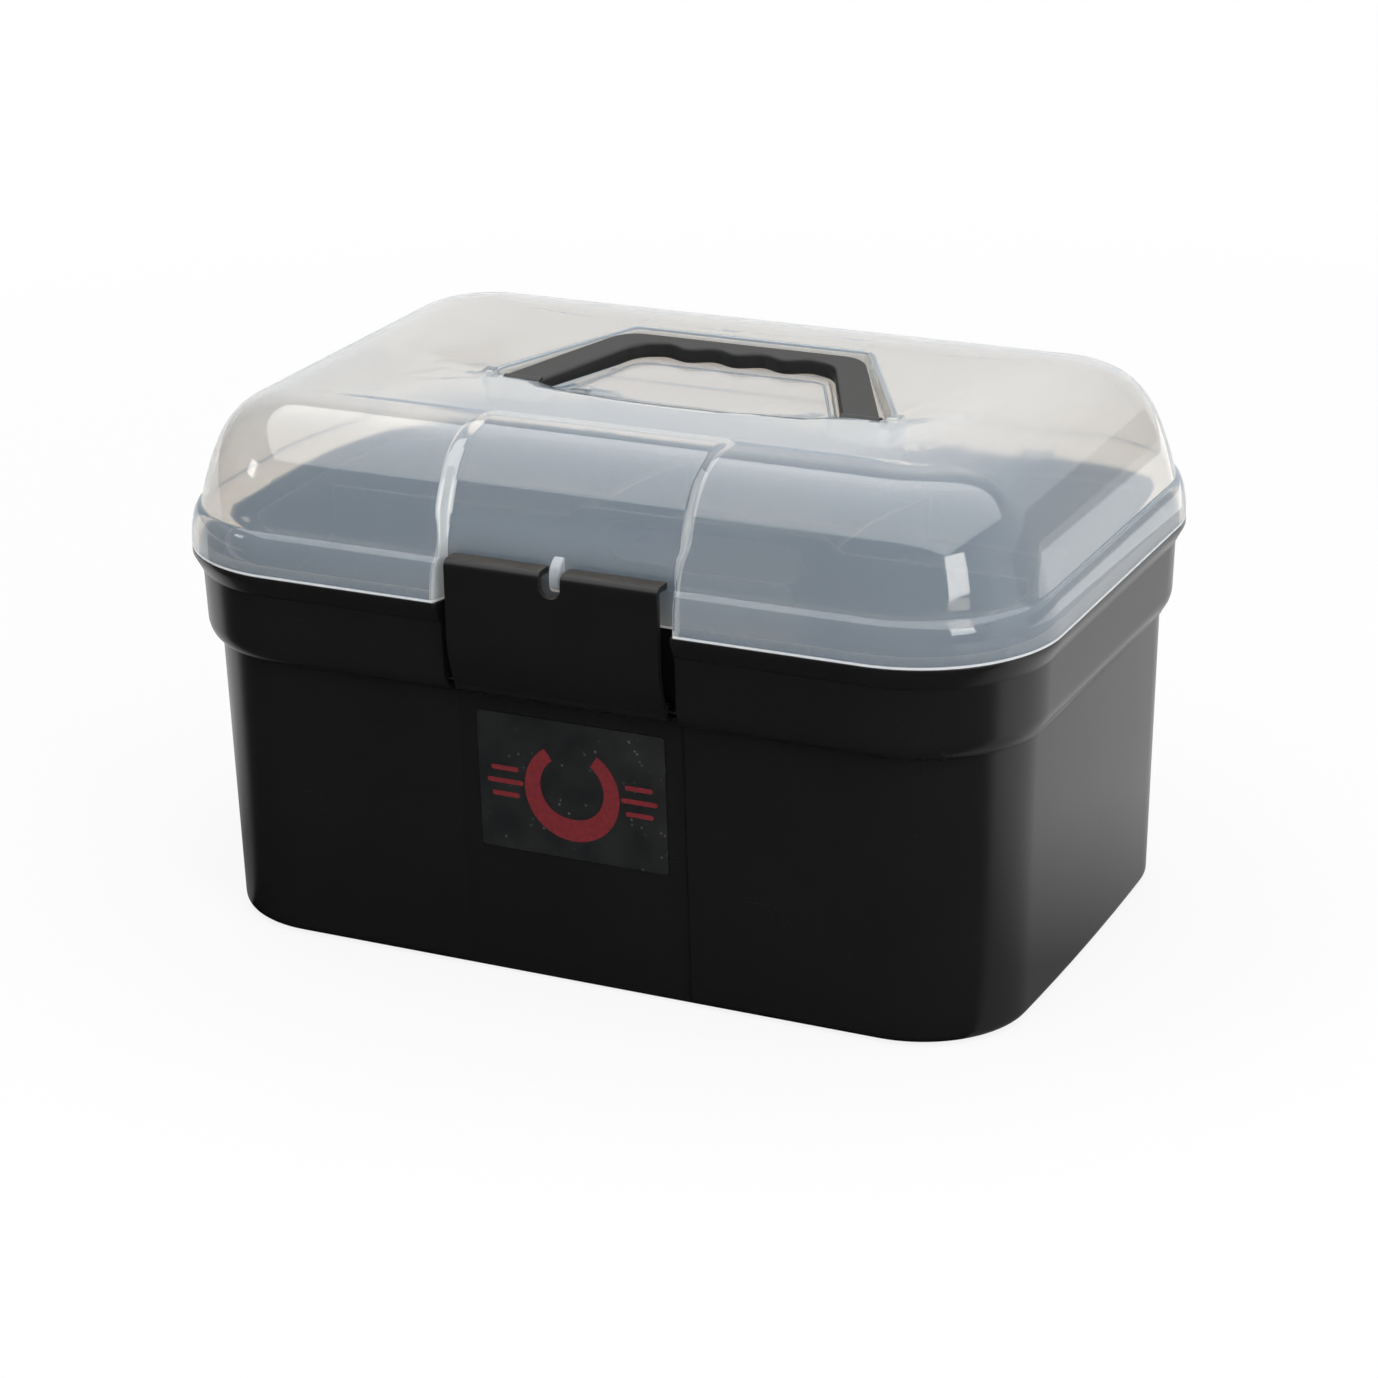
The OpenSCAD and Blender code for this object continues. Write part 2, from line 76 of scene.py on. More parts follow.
FOOT_HEIGHT = 0.0015
FOOT_WIDTH = 0.012
BASE_ROUND = 0.0045
FOOT_LIFT = 0.0006
LEDGE_Z = COLLAR_Z + TUB_WALL
LEDGE_SLOPE = 0.003
END_BOW = 0.004
BOW_START = 0.12
BOW_RUN = 0.05
BAND_HALF = 0.053
BAND_RECESS = 0.0015
BAND_SOFT = 0.0009
BAND_SLOPE = 0.02
CREASE_ROUND = 0.0007
LEDGE_ROUND = 0.001
TAPER_RATE = BODY_TAPER / (COLLAR_Z - FOOT_HEIGHT - BASE_RADIUS)
TINY = 0.00002
SMALL_ROUND = 0.0004
EDGE_ROUND = 0.0005

# Sizes of the lid
LID_Z = RIM_Z + 0.0003
LID_WALL = 0.0024
LID_PLAY = 0.0008
LID_EDGE = 0.0011
TOP_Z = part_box("lid")[1].z
SKIRT_STEP = 0.005
SKIRT_Z = LID_Z + 0.0185
SHOULDER_Z = TOP_Z - 0.0295
SHOULDER_END = 0.056
DOME_LEAN = math.radians(14)
DOME_RISE = 0.038
DOME_RUN = 0.033
CHANNEL_DEPTH = 0.006
CHANNEL_SOFT = 0.0012
CHANNEL_EDGE = 0.006
FOOT_SLOPE = 0.15
SHOULDER_SLOPE = 0.75
DISH_DEPTH = 0.008
DISH_LOW = -0.006
DISH_HALF = 0.092
DISH_BACK = 0.076
POCKET_EDGE = 0.0008
TOOTH_HALF = 0.0025
TOOTH_REACH = 0.006
TOOTH_RISE = 0.0045
TOOTH_GAP = 0.0004
TOOTH_ROUND = 0.0014

# The latch, the hinges and the handle with its pocket
latch_low, latch_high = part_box("front_latch")
LATCH_HALF = latch_high.x
LATCH_TOP = latch_high.z
LATCH_FACE = latch_low.y
LATCH_THICK = 0.0026
LATCH_CURVE = 0.024
LATCH_TURN = 1.3 * LATCH_THICK
BARREL_Y, BARREL_Z = pivots["latch_swing"].yz
BARREL_RADIUS = 0.004
NOTCH_WIDTH = 0.010
NOTCH_DEPTH = 0.011
ROD_RADIUS = 0.0015
HINGE_X = 0.110
HINGE_Y, HINGE_Z = pivots["lid_hinge"].yz
KNUCKLE_RADIUS = 0.0042
KNUCKLE_WIDTH = 0.016
KNUCKLE_ROOT = 0.009
EAR_DROP = 0.017
EAR_WIDTH = 0.005
HINGE_PIN_RADIUS = 0.002
PIN_PLAY = 0.00006
PASS_GAP = 0.0005
PIVOT_Z = pivots["handle_fold"].z
HANDLE_TILT = math.radians(7.5)
HANDLE_HALF = 0.090
HANDLE_REACH = 0.059
HANDLE_THICK = 0.007
GRIP_HALF = 0.0585
FOOT_SPAN = 0.018
LEG_SPAN = 0.011
GRIP_DEPTH = 0.0072
WAVE_DEPTH = 0.0032
FINGER_WAVES = 4
GRIP_ROUND = 0.0020
HANDLE_ROUND = 0.0011
HANDLE_FOOT_RADIUS = 0.004
HANDLE_PIN_RADIUS = 0.003
POCKET_HALF = 0.094
POCKET_FRONT = -0.0075
POCKET_SIDE = 0.003
POCKET_BACK = 0.066
POCKET_BACK_HALF = 0.057
ISLAND_HALF = 0.0705
ISLAND_BACK = 0.0468
ISLAND_BACK_HALF = 0.0463
ISLAND_DROP = 0.0060
ARCH_FRONT = -0.018
ARCH_BOW = 0.009
ARCH_RUN = 0.030
ARCH_SIDE = 0.054
ARCH_SIDE_RUN = 0.026
FLOOR_GAP = 0.0007
POCKET_FLOOR = PIVOT_Z - HANDLE_FOOT_RADIUS - FLOOR_GAP
SHELF_Y = 0.055
SHELF_GAP = 0.0003
SHELF_Z = (PIVOT_Z - HANDLE_THICK / 2 * math.cos(HANDLE_TILT) + SHELF_Y * math.tan(HANDLE_TILT)
           - SHELF_GAP)
BOSS_RADIUS = 0.005
BOSS_END = 0.1004

# The tray and the label
tray_low, tray_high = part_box("lift_out_tray")
TRAY_WALL = 0.002
TRAY_TAPER = 0.0025
TRAY_BAND = 0.004
TRAY_FLOOR_IN = 0.02
TRAY_EDGE = 0.0004
DIVIDER_Y = 0.012
DIVIDER_X = 0.062
DIVIDER_DROP = 0.006
SLOT_WIDTH = 0.096
SLOT_HEIGHT = 0.018
label_low, label_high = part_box("front_label")
LABEL_THICK = 0.0004
LABEL_CORNER = 0.002
LABEL_ROUND = 0.00012
LABEL_GAP = 0.00005
PRINT_THICK = 0.00008


# Edit-mode steps that the pieces share
def to_objects():
    if bpy.context.mode != "OBJECT":
        bpy.ops.object.mode_set(mode="OBJECT")
    bpy.ops.object.select_all(action="DESELECT")


def take(piece):
    """Makes a piece the only selected and active one."""
    to_objects()
    piece.select_set(True)
    bpy.context.view_layer.objects.active = piece


def settle(name):
    """Names the primitive that was just added and puts its place into its mesh."""
    piece = bpy.context.object
    piece.name = name
    piece.data.name = name
    bpy.ops.object.transform_apply(location=True, rotation=True, scale=True)
    return piece


def put_down(piece, turn=(0, 0, 0), place=(0, 0, 0)):
    """Turns a piece, moves it to its place and puts both into its mesh."""
    take(piece)
    piece.rotation_euler = turn
    piece.location = place
    bpy.ops.object.transform_apply(location=True, rotation=True, scale=True)


def pick_all():
    bpy.ops.mesh.select_all(action="SELECT")


def open_mesh(piece):
    take(piece)
    bpy.ops.object.mode_set(mode="EDIT")
    pick_all()


def points_in_hand():
    return bmesh.from_edit_mesh(bpy.context.edit_object.data)


def show_moves():
    """Hands moved points back to the open mesh."""
    bmesh.update_edit_mesh(bpy.context.edit_object.data)


def extrude(way):
    bpy.ops.mesh.extrude_region_move(TRANSFORM_OT_translate={"value": way})


def cut_across(place, way):
    """Cuts a line across all the selected faces."""
    bpy.ops.mesh.bisect(plane_co=place, plane_no=way)


def pick(kind, test):
    """In edit mode, selects the vertices, edges or faces that pass a test."""
    bpy.ops.mesh.select_mode(type=kind)
    bpy.ops.mesh.select_all(action="DESELECT")
    mesh = points_in_hand()
    parts = {"VERT": mesh.verts, "EDGE": mesh.edges, "FACE": mesh.faces}[kind]
    for part in parts:
        if test(part):
            part.select_set(True)
    mesh.select_flush_mode()
    show_moves()


def apply_modifier(piece, kind, **settings):
    take(piece)
    modifier = piece.modifiers.new(kind.lower(), kind)
    for key, value in settings.items():
        setattr(modifier, key, value)
    bpy.ops.object.modifier_apply(modifier=modifier.name)


def join(pieces, name):
    take(pieces[0])
    for piece in pieces:
        piece.select_set(True)
    bpy.ops.object.join()
    pieces[0].name = name
    pieces[0].data.name = name
    return pieces[0]


def carve(piece, tool, operation):
    """Unites a piece with a tool or cuts the tool out of it, and drops the tool."""
    apply_modifier(piece, "BOOLEAN", object=tool, operation=operation, solver="EXACT")
    bpy.data.objects.remove(tool)


def weld_points(piece):
    """Merges points that fell together and turns every face outwards."""
    open_mesh(piece)
    bpy.ops.mesh.remove_doubles(threshold=TINY / 4)
    pick_all()
    bpy.ops.mesh.normals_make_consistent(inside=False)
    to_objects()


def bend(start, corner, end, t):
    """A place on the curve that leaves the start and reaches the end along a corner's two sides."""
    return start * (1 - t) ** 2 + corner * 2 * t * (1 - t) + end * t * t


def soften(points, steps=4):
    """Rounds the corners of a profile of (inset, height, radius) points."""
    made = []
    most = 0.48
    for k, (inset, height, radius) in enumerate(points):
        here = Vector((inset, height))
        if not radius:
            made.append(tuple(here))
            continue
        back = Vector(points[k - 1][:2]) - here
        ahead = Vector(points[k + 1][:2]) - here
        turn = math.pi - back.angle(ahead)
        reach = min(radius * math.tan(turn / 2), most * back.length, most * ahead.length)
        start = here + back.normalized() * reach
        end = here + ahead.normalized() * reach
        made += [tuple(bend(start, here, end, step / steps)) for step in range(steps + 1)]
    return made


def sweep(centre, reach, first, last, steps):
    """Points of an elliptical curve about a centre, between two angles in degrees."""
    angles = [math.radians(first + (last - first) * k / steps) for k in range(steps + 1)]
    return [(centre[0] + reach[0] * math.cos(a), centre[1] + reach[1] * math.sin(a)) for a in angles]


def arc(centre, radius, first, last, steps):
    return sweep(centre, (radius, radius), first, last, steps)


def ease(value):
    """Goes smoothly from 0 to 1 as the value does."""
    value = min(1, max(0, value))
    return value * value * (3 - 2 * value)


def rectangle(name, low, high, z):
    """A level rectangle between two corners."""
    to_objects()
    middle = ((low[0] + high[0]) / 2, (low[1] + high[1]) / 2, z)
    bpy.ops.mesh.primitive_plane_add(size=1, location=middle)
    bpy.context.object.scale = (high[0] - low[0], high[1] - low[1], 1)
    return settle(name)


def rounded_plate(name, half_x, front, back, radius, z, columns=()):
    """A flat plate with rounded corners and lines across it at the columns, left in edit mode."""
    piece = rectangle(name, (-half_x, front), (half_x, back), z)
    open_mesh(piece)
    bpy.ops.mesh.bevel(offset=radius, segments=CORNER_STEPS, affect="VERTICES")
    for x in [side * x for x in columns for side in (-1, 1)]:
        pick_all()
        cut_across((x, 0, 0), (1, 0, 0))
    pick_all()
    return piece


def raise_faces(height):
    extrude((0, 0, height))


def pick_flat(up):
    """Selects the flat faces that look up, or down."""
    pick("FACE", lambda face: face.normal.z * up > 0.99)


def pick_level(z):
    """Selects the faces that lie flat at a height."""
    pick("FACE", lambda face: all(abs(point.co.z - z) < TINY for point in face.verts))


def inset_along(levels, up):
    """Insets the selected flat faces from level to level; a level is (inset, z)."""
    for (inset, z), (next_inset, next_z) in zip(levels, levels[1:]):
        bpy.ops.mesh.inset(thickness=max(0, next_inset - inset), depth=up * (next_z - z))


def step_columns(half_width, soft, steps):
    """Places on one side of the front between which it steps in."""
    return [half_width - soft + 2 * soft * k / steps for k in range(steps + 1)]


def press_front(columns, half_width, soft, rows):
    """Presses the front in between the columns. A row is (inset, z, depth, slope, skin)."""
    near, far = columns[0], columns[-1]
    for point in points_in_hand().verts:
        across = abs(point.co.x)
        if point.co.y > FRONT / 2 or across > far + TINY:
            continue
        inset = point.co.y - FRONT
        row = min(rows, key=lambda r: (r[0] - inset) ** 2 + (r[1] - point.co.z) ** 2)
        depth, slope, skin = row[2:]
        step = max(0, (across - near) / (far - near))
        width = 2 * soft + slope * depth
        lean = math.atan2(6 * step * (1 - step) * depth, width)
        if across > near - TINY:
            x = half_width - soft + width * step + skin * math.sin(lean)
            point.co.x = math.copysign(x, point.co.x)
        point.co.y += depth * (1 - ease(step)) - skin * (1 - math.cos(lean))
    show_moves()


def draw_strip(name, stations):
    """A strip of faces drawn edge by edge; a station is the strip's two edge points there."""
    to_objects()
    bpy.ops.mesh.primitive_plane_add(size=0.001)
    piece = settle(name)
    open_mesh(piece)
    corners = sorted(points_in_hand().verts, key=lambda point: (point.co.y, point.co.x))
    for corner, place in zip(corners, [*stations[0], *stations[1]]):
        corner.co = place
    ends = [corners[2].co.copy(), corners[3].co.copy()]
    pick("VERT", lambda point: min((point.co - end).length for end in ends) < TINY / 10)
    for left, right in stations[2:]:
        extrude((0, 0, 0))
        moved = [point for point in points_in_hand().verts if point.select]
        moved.sort(key=lambda point: (point.co - ends[0]).length)
        moved[0].co = left
        moved[1].co = right
        ends = [moved[0].co.copy(), moved[1].co.copy()]
    bpy.ops.mesh.select_mode(type="FACE")
    pick_all()
    return piece


def turn_faces(way):
    """Turns an open strip so that its faces look along a direction."""
    bpy.ops.mesh.normals_make_consistent(inside=False)
    mesh = points_in_hand()
    mesh.normal_update()
    if sum(face.normal.dot(way) * face.calc_area() for face in mesh.faces) < 0:
        bpy.ops.mesh.flip_normals()


def polygon(name, corners):
    """A flat face with the given corners, left in edit mode."""
    to_objects()
    bpy.ops.mesh.primitive_circle_add(vertices=len(corners), radius=0.1, fill_type="NGON")
    piece = settle(name)
    open_mesh(piece)
    mesh = points_in_hand()
    mesh.verts.ensure_lookup_table()
    for point, corner in zip(mesh.verts, corners):
        point.co = corner
    return piece


def slab(name, corners, x0, x1):
    """A prism along X from one place to another with the given (y, z) corners."""
    piece = polygon(name, [(x0, y, z) for y, z in corners])
    extrude((x1 - x0, 0, 0))
    pick_all()
    bpy.ops.mesh.normals_make_consistent(inside=False)
    to_objects()
    return piece


def bar(name, x0, x1, y, z, radius, sides=40):
    """A round bar along X."""
    to_objects()
    bpy.ops.mesh.primitive_cylinder_add(
        vertices=sides, radius=radius, depth=x1 - x0, location=((x0 + x1) / 2, y, z),
        rotation=(0, math.pi / 2, 0))
    return settle(name)


def bevel_edges(piece, width, segments, angle=50):
    """Rounds the edges that turn by more than an angle."""
    apply_modifier(piece, "BEVEL", width=width, segments=segments, limit_method="ANGLE",
                   angle_limit=math.radians(angle), harden_normals=False)


def dress(piece, body, slot, material, *replaced, angle=32):
    """Shades a finished piece, gives it its finish and lets it ride on its body."""
    take(piece)
    bpy.ops.object.shade_smooth_by_angle(angle=math.radians(angle))
    apply_modifier(piece, "WEIGHTED_NORMAL", keep_sharp=True)
    piece.data.materials.clear()
    piece.data.materials.append(material)
    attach(piece, body)
    if replaced:
        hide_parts(*replaced)
    return piece


# The tub
def band_y(z):
    """Front face of the recessed band at a height."""
    return FRONT + BODY_INSET + BAND_RECESS - TAPER_RATE * (z - COLLAR_Z)


def base_curve(radius):
    """The round between the tub's walls and its floor."""
    return arc((BASE_INSET + BASE_ROUND, FOOT_LIFT + BASE_ROUND), radius, 180, 270, 8)


def tub_outside():
    """Profile from the foot of the rim's edge down to the ring that the tub stands on."""
    base = base_curve(BASE_ROUND)
    collar = sweep((BODY_INSET, COLLAR_Z + COLLAR_ROUND), (COLLAR_STEP, COLLAR_ROUND), 180, 256, 9)
    foot = base[-1][0]
    collar_corner = 0.0012
    ring_start, ring_edge, ring_slope = 0.0006, 0.0010, 0.0004
    start_round, ring_round = 0.0002, 0.0003
    points = [
        (0, RIM_Z - RIM_EDGE, 0),
        (RIM_FLARE - 2 * FLANGE_CREASE, FLANGE_Z, CREASE_ROUND),
        (RIM_FLARE - FLANGE_CREASE, FLANGE_Z - FLANGE_CREASE, CREASE_ROUND),
        *[(inset, z, 0) for inset, z in collar],
        (BODY_INSET, COLLAR_Z, collar_corner),
        *[(inset, z, 0) for inset, z in base],
        (foot + ring_start, FOOT_LIFT, start_round),
        (foot + ring_edge, 0, ring_round),
        (foot + FOOT_WIDTH - ring_slope, 0, ring_round),
        (foot + FOOT_WIDTH, FOOT_LIFT, 0),
    ]
    return soften(points)


def tub_inside():
    """Profile from the top of the rim's edge over the locating lip and down to the floor."""
    base = base_curve(BASE_ROUND - TUB_WALL)
    collar_inner = RIM_FLARE + TUB_WALL
    lip_foot, lip_round, wall_round = 0.0003, 0.0006, 0.003
    points = [
        (0, RIM_Z - RIM_ROUND, 0),
        (0, RIM_Z, RIM_ROUND),
        (LIP_INSET, RIM_Z, lip_foot),
        (LIP_INSET, RIM_Z + LIP_HEIGHT, lip_round),
        (LIP_INSET + TUB_WALL, RIM_Z + LIP_HEIGHT, lip_round),
        (LIP_INSET + TUB_WALL, RIM_Z, wall_round),
        (collar_inner, COLLAR_Z + COLLAR_ROUND, wall_round),
        (collar_inner + LEDGE_SLOPE, LEDGE_Z, LEDGE_ROUND),
        (BODY_INSET + TUB_WALL, LEDGE_Z, LEDGE_ROUND),
        *[(inset, z, 0) for inset, z in base],
    ]
    return soften(points)


def band_rows():
    """How far each level of the tub's profiles is pressed in at the band."""
    rows = [(inset, z, max(0, band_y(z) - FRONT - inset), BAND_SLOPE, 0) for inset, z in tub_outside()]
    for inset, z in tub_inside():
        share = min(1, inset / (LIP_INSET + TUB_WALL))
        target = band_y(min(z, RIM_Z)) + share * TUB_WALL
        rows.append((inset, z, max(0, target - FRONT - inset), BAND_SLOPE, share * TUB_WALL))
    return rows


def hinge_ears():
    """The four ears at the back, each a web that ends in a round eye."""
    web_y = BACK - RIM_FLARE
    eye = arc((HINGE_Y, HINGE_Z), KNUCKLE_RADIUS, -90, 155, 20)
    corners = [(web_y, HINGE_Z - EAR_DROP), *eye, (web_y, eye[-1][1])]
    reach = KNUCKLE_WIDTH / 2 + PASS_GAP
    ears = []
    for side in (-1, 1):
        for outer in (-1, 1):
            x = side * HINGE_X + outer * (reach + EAR_WIDTH / 2)
            ears.append(slab("ear", corners, x - EAR_WIDTH / 2, x + EAR_WIDTH / 2))
    ears = join(ears, "ears")
    bevel_edges(ears, SMALL_ROUND, 2)
    return ears


def bow_ends():
    """Bows the tub's two ends outwards below the collar."""
    straight = BACK - CORNER_RADIUS
    for k in range(-3, 4):
        pick_all()
        cut_across((0, k / 4 * straight, 0), (0, 1, 0))
    for point in points_in_hand().verts:
        share = 1 - (point.co.y / BACK) ** 2
        end = ease((abs(point.co.x) - BOW_START) / BOW_RUN)
        low = ease((LEDGE_Z - point.co.z) / (LEDGE_Z - COLLAR_Z + LEDGE_ROUND))
        point.co.x += math.copysign(END_BOW * share * end * low, point.co.x)


def make_tub():
    columns = step_columns(BAND_HALF, BAND_SOFT, 8)
    lip_columns = [LIP_HALF - 5 * TINY, LIP_HALF]
    tub = rounded_plate("tub_shell", HALF_LENGTH, FRONT, BACK, CORNER_RADIUS, RIM_Z - RIM_EDGE,
                        [*columns, *lip_columns])
    raise_faces(RIM_EDGE - RIM_ROUND)
    pick_flat(1)
    inset_along(tub_inside(), 1)
    pick_flat(-1)
    inset_along(tub_outside(), -1)
    press_front(columns, BAND_HALF, BAND_SOFT, band_rows())
    for point in points_in_hand().verts:
        if point.co.z > RIM_Z and abs(point.co.x) < LIP_HALF - TINY and point.co.y < FRONT / 2:
            point.co.z = RIM_Z
    bow_ends()
    weld_points(tub)
    carve(tub, hinge_ears(), "UNION")
    return tub


# The lid
CHANNEL_FACE = band_y(RIM_Z) - LID_PLAY - LID_WALL


def dome(t):
    """A point of the dome's profile, from the skirt's crease to the flat top, and its direction."""
    lean = Vector((math.sin(DOME_LEAN), math.cos(DOME_LEAN)))
    a = Vector((SKIRT_STEP, SKIRT_Z))
    d = Vector((SHOULDER_END, TOP_Z))
    b = a + lean * DOME_RISE
    c = d - Vector((DOME_RUN, 0))
    place = a * (1 - t) ** 3 + b * 3 * t * (1 - t) ** 2 + c * 3 * t * t * (1 - t) + d * t ** 3
    return place, bend(b - a, c - b, d - c, t).normalized()


def channel(inset, z):
    """Depth of the front channel at a level, and the slope of its sides."""
    face = CHANNEL_FACE - FRONT
    rise = ease((z - LATCH_TOP) / (SHOULDER_Z - LATCH_TOP))
    depth = max(0, (face - inset) * (1 - rise) + CHANNEL_DEPTH * rise)
    return depth, FOOT_SLOPE + (SHOULDER_SLOPE - FOOT_SLOPE) * rise


def lid_levels():
    """Outer and inner profile of the lid, as pairs of levels from the foot up."""
    skirt = sweep((SKIRT_STEP, LID_Z), (SKIRT_STEP, SKIRT_Z - LID_Z), 180, 100, 10)
    outer = [(inset, z, 0) for inset, z in skirt] + [(SKIRT_STEP, SKIRT_Z, 0.0012)]
    dome_steps = 22
    first = 0.035
    curve = [dome(first + (1 - first) * k / dome_steps) for k in range(dome_steps + 1)]
    outer += [(place.x, place.y, 0) for place, along in curve]
    inner = [(inset + LID_WALL, z) for inset, z in skirt]
    inner += [(place.x + LID_WALL * along.y, place.y - LID_WALL * along.x) for place, along in curve]
    sources = skirt + [tuple(place) for place, along in curve]
    return soften(outer), inner, sources


def grown(corners, width):
    """Moves the sides of a polygon outwards by a width."""
    made = []
    for k, corner in enumerate(corners):
        here = Vector(corner)
        back = (here - Vector(corners[k - 1])).normalized()
        ahead = (Vector(corners[(k + 1) % len(corners)]) - here).normalized()
        normals = [Vector((side.y, -side.x)) for side in (back, ahead)]
        made.append(here + (normals[0] + normals[1]) * width / (1 + normals[0].dot(normals[1])))
    return made


def slope_in(t):
    """Goes from 0 to 1 in a straight line with a soft start."""
    soft = 0.06
    return max(0, t) if t > soft else max(0, t) ** 2 / (2 * soft) + max(0, t) / 2


def valley(x, y):
    """Depth of the shallow valley that runs along the pivot's line."""
    flat_y = BACK - SHOULDER_END
    flat_x = HALF_LENGTH - SHOULDER_END
    reach = DISH_LOW + flat_y if y < DISH_LOW else DISH_BACK - DISH_LOW
    depth = DISH_DEPTH * slope_in(1 - abs(y - DISH_LOW) / reach)
    return depth * (1 - ease((abs(x) - DISH_HALF) / (flat_x - DISH_HALF)))


def dish(x, y):
    """How far the lid's top is sunk: the valley, and lower still inside the handle's arch."""
    depth = valley(x, y)
    between, front_lap = 0.005, 0.002
    front = POCKET_FRONT + front_lap
    side = ISLAND_HALF - max(0, y) * (ISLAND_HALF - ISLAND_BACK_HALF) / ISLAND_BACK + between
    if y > ISLAND_BACK + between or (y > front and abs(x) > side):
        return depth
    level = PIVOT_Z + HANDLE_THICK / 2 - ISLAND_DROP + math.tan(HANDLE_TILT) * y
    bow = ARCH_BOW * (1 - (x / ISLAND_HALF) ** 2)
    drop = ease((y - ARCH_FRONT + max(0, bow)) / ARCH_RUN)
    share = 1 - ease(y / POCKET_FRONT) * ease((abs(x) - ARCH_SIDE) / ARCH_SIDE_RUN)
    return depth + (TOP_Z - depth - level) * drop * share


def sink_top():
    """Cuts the flat top into a grid and sinks its dish, together with the recess's edge."""
    along, back = 0.008, 0.005
    for height in (TOP_Z, TOP_Z - LID_WALL):
        for k in range(-17, 18):
            pick_level(height)
            cut_across((k * along, 0, 0), (1, 0, 0))
        for k in range(-16, 16):
            pick_level(height)
            cut_across((0, k * back + DISH_LOW / 3, 0), (0, 1, 0))
    for point in points_in_hand().verts:
        if point.co.z > TOP_Z - LID_WALL - POCKET_EDGE - TINY:
            point.co.z -= dish(point.co.x, point.co.y)
    show_moves()


def lid_pocket(name, grow, up):
    """One face of the recess that the handle folds into: a U whose floor rises under the grip."""
    edge = POCKET_EDGE
    foot = 0.0012
    corner_round = 0.003 + 0.6 * grow
    left = [(-POCKET_BACK_HALF, POCKET_BACK), (-POCKET_HALF, POCKET_SIDE), (-POCKET_HALF, POCKET_FRONT),
            (-ISLAND_HALF, POCKET_FRONT), (-ISLAND_HALF, 0), (-ISLAND_BACK_HALF, ISLAND_BACK)]
    corners = left + [(-x, y) for x, y in left[::-1]]
    top = TOP_Z - grow
    floor = POCKET_FLOOR - grow
    piece = polygon(name, [(*place, top) for place in grown(corners, grow + edge)])
    show_moves()
    bpy.ops.mesh.bevel(offset=corner_round, segments=6, affect="VERTICES")
    if up < 0:
        bpy.ops.mesh.flip_normals()
    rim = arc((0, top - edge), edge, 90, 0, 5)
    fillet = arc((edge + foot, floor + foot), foot, 180, 270, 4)
    pick_all()
    inset_along([*rim, *fillet], up)
    pick_level(floor)
    bpy.ops.mesh.quads_convert_to_tris()
    for y in (0, SHELF_Y):
        pick_level(floor)
        cut_across((0, y, 0), (0, 1, 0))
    ramp = (SHELF_Z - POCKET_FLOOR) / SHELF_Y
    for point in points_in_hand().verts:
        if point.co.z < floor + foot + TINY:
            point.co.z += ramp * max(0, min(point.co.y, SHELF_Y))
    show_moves()
    to_objects()
    return piece


def fill_between(height):
    """Fills the flat ring between the open edges at a height."""
    pick("EDGE", lambda edge: len(edge.link_faces) == 1
         and all(abs(point.co.z - height) < TINY for point in edge.verts))
    bpy.ops.mesh.fill()


def lid_fittings():
    """The hinge knuckles, the pivot bosses and the tooth, as solids to unite with the lid."""
    foot = LID_Z + TINY
    root = BACK - LID_WALL / 2
    low = 180 - math.degrees(math.asin((foot - HINGE_Z) / KNUCKLE_RADIUS)) - 360
    eye = arc((HINGE_Y, HINGE_Z), KNUCKLE_RADIUS, 90, low, 28)
    knuckle = [(root, foot), (root, foot + KNUCKLE_ROOT), *eye]
    face = CHANNEL_FACE
    foot_z = LATCH_TOP - NOTCH_DEPTH + PASS_GAP + TOOTH_GAP
    head_z = LATCH_TOP + TOOTH_RISE
    front = face - TOOTH_REACH
    nose_y, nose_z = 0.0035, 0.0042
    brow_y, brow_z = 0.0008, 0.0085
    nose = sweep((front + nose_y, foot_z + nose_z), (nose_y, nose_z), 270, 180, 6)
    brow = sweep((face + brow_y, head_z - brow_z), (TOOTH_REACH + brow_y, brow_z), 180, 90, 9)
    tooth = slab("tooth", [(face + LID_WALL / 2, foot_z), *nose, *brow], -TOOTH_HALF, TOOTH_HALF)
    bevel_edges(tooth, TOOTH_ROUND, 4, 40)
    made = [tooth]
    for side in (-1, 1):
        x = side * HINGE_X
        made.append(slab("knuckle", knuckle, x - KNUCKLE_WIDTH / 2, x + KNUCKLE_WIDTH / 2))
        bevel_edges(made[-1], SMALL_ROUND, 2)
        ends = sorted([side * (POCKET_HALF + LID_WALL / 2), side * BOSS_END])
        made.append(bar("boss", *ends, 0, PIVOT_Z, BOSS_RADIUS))
        bevel_edges(made[-1], EDGE_ROUND, 2)
    return join(made, "fittings")


def lid_bores():
    """The holes for the hinge pins and the handle's pins."""
    made = []
    start, cap = 0.003, 0.001
    for side in (-1, 1):
        x = side * HINGE_X
        made.append(bar("bore", x - KNUCKLE_WIDTH, x + KNUCKLE_WIDTH, HINGE_Y, HINGE_Z,
                        HINGE_PIN_RADIUS + PIN_PLAY))
        ends = sorted([side * (POCKET_HALF - start), side * (BOSS_END - cap)])
        made.append(bar("bore", *ends, 0, PIVOT_Z, HANDLE_PIN_RADIUS + PIN_PLAY))
    return join(made, "bores")


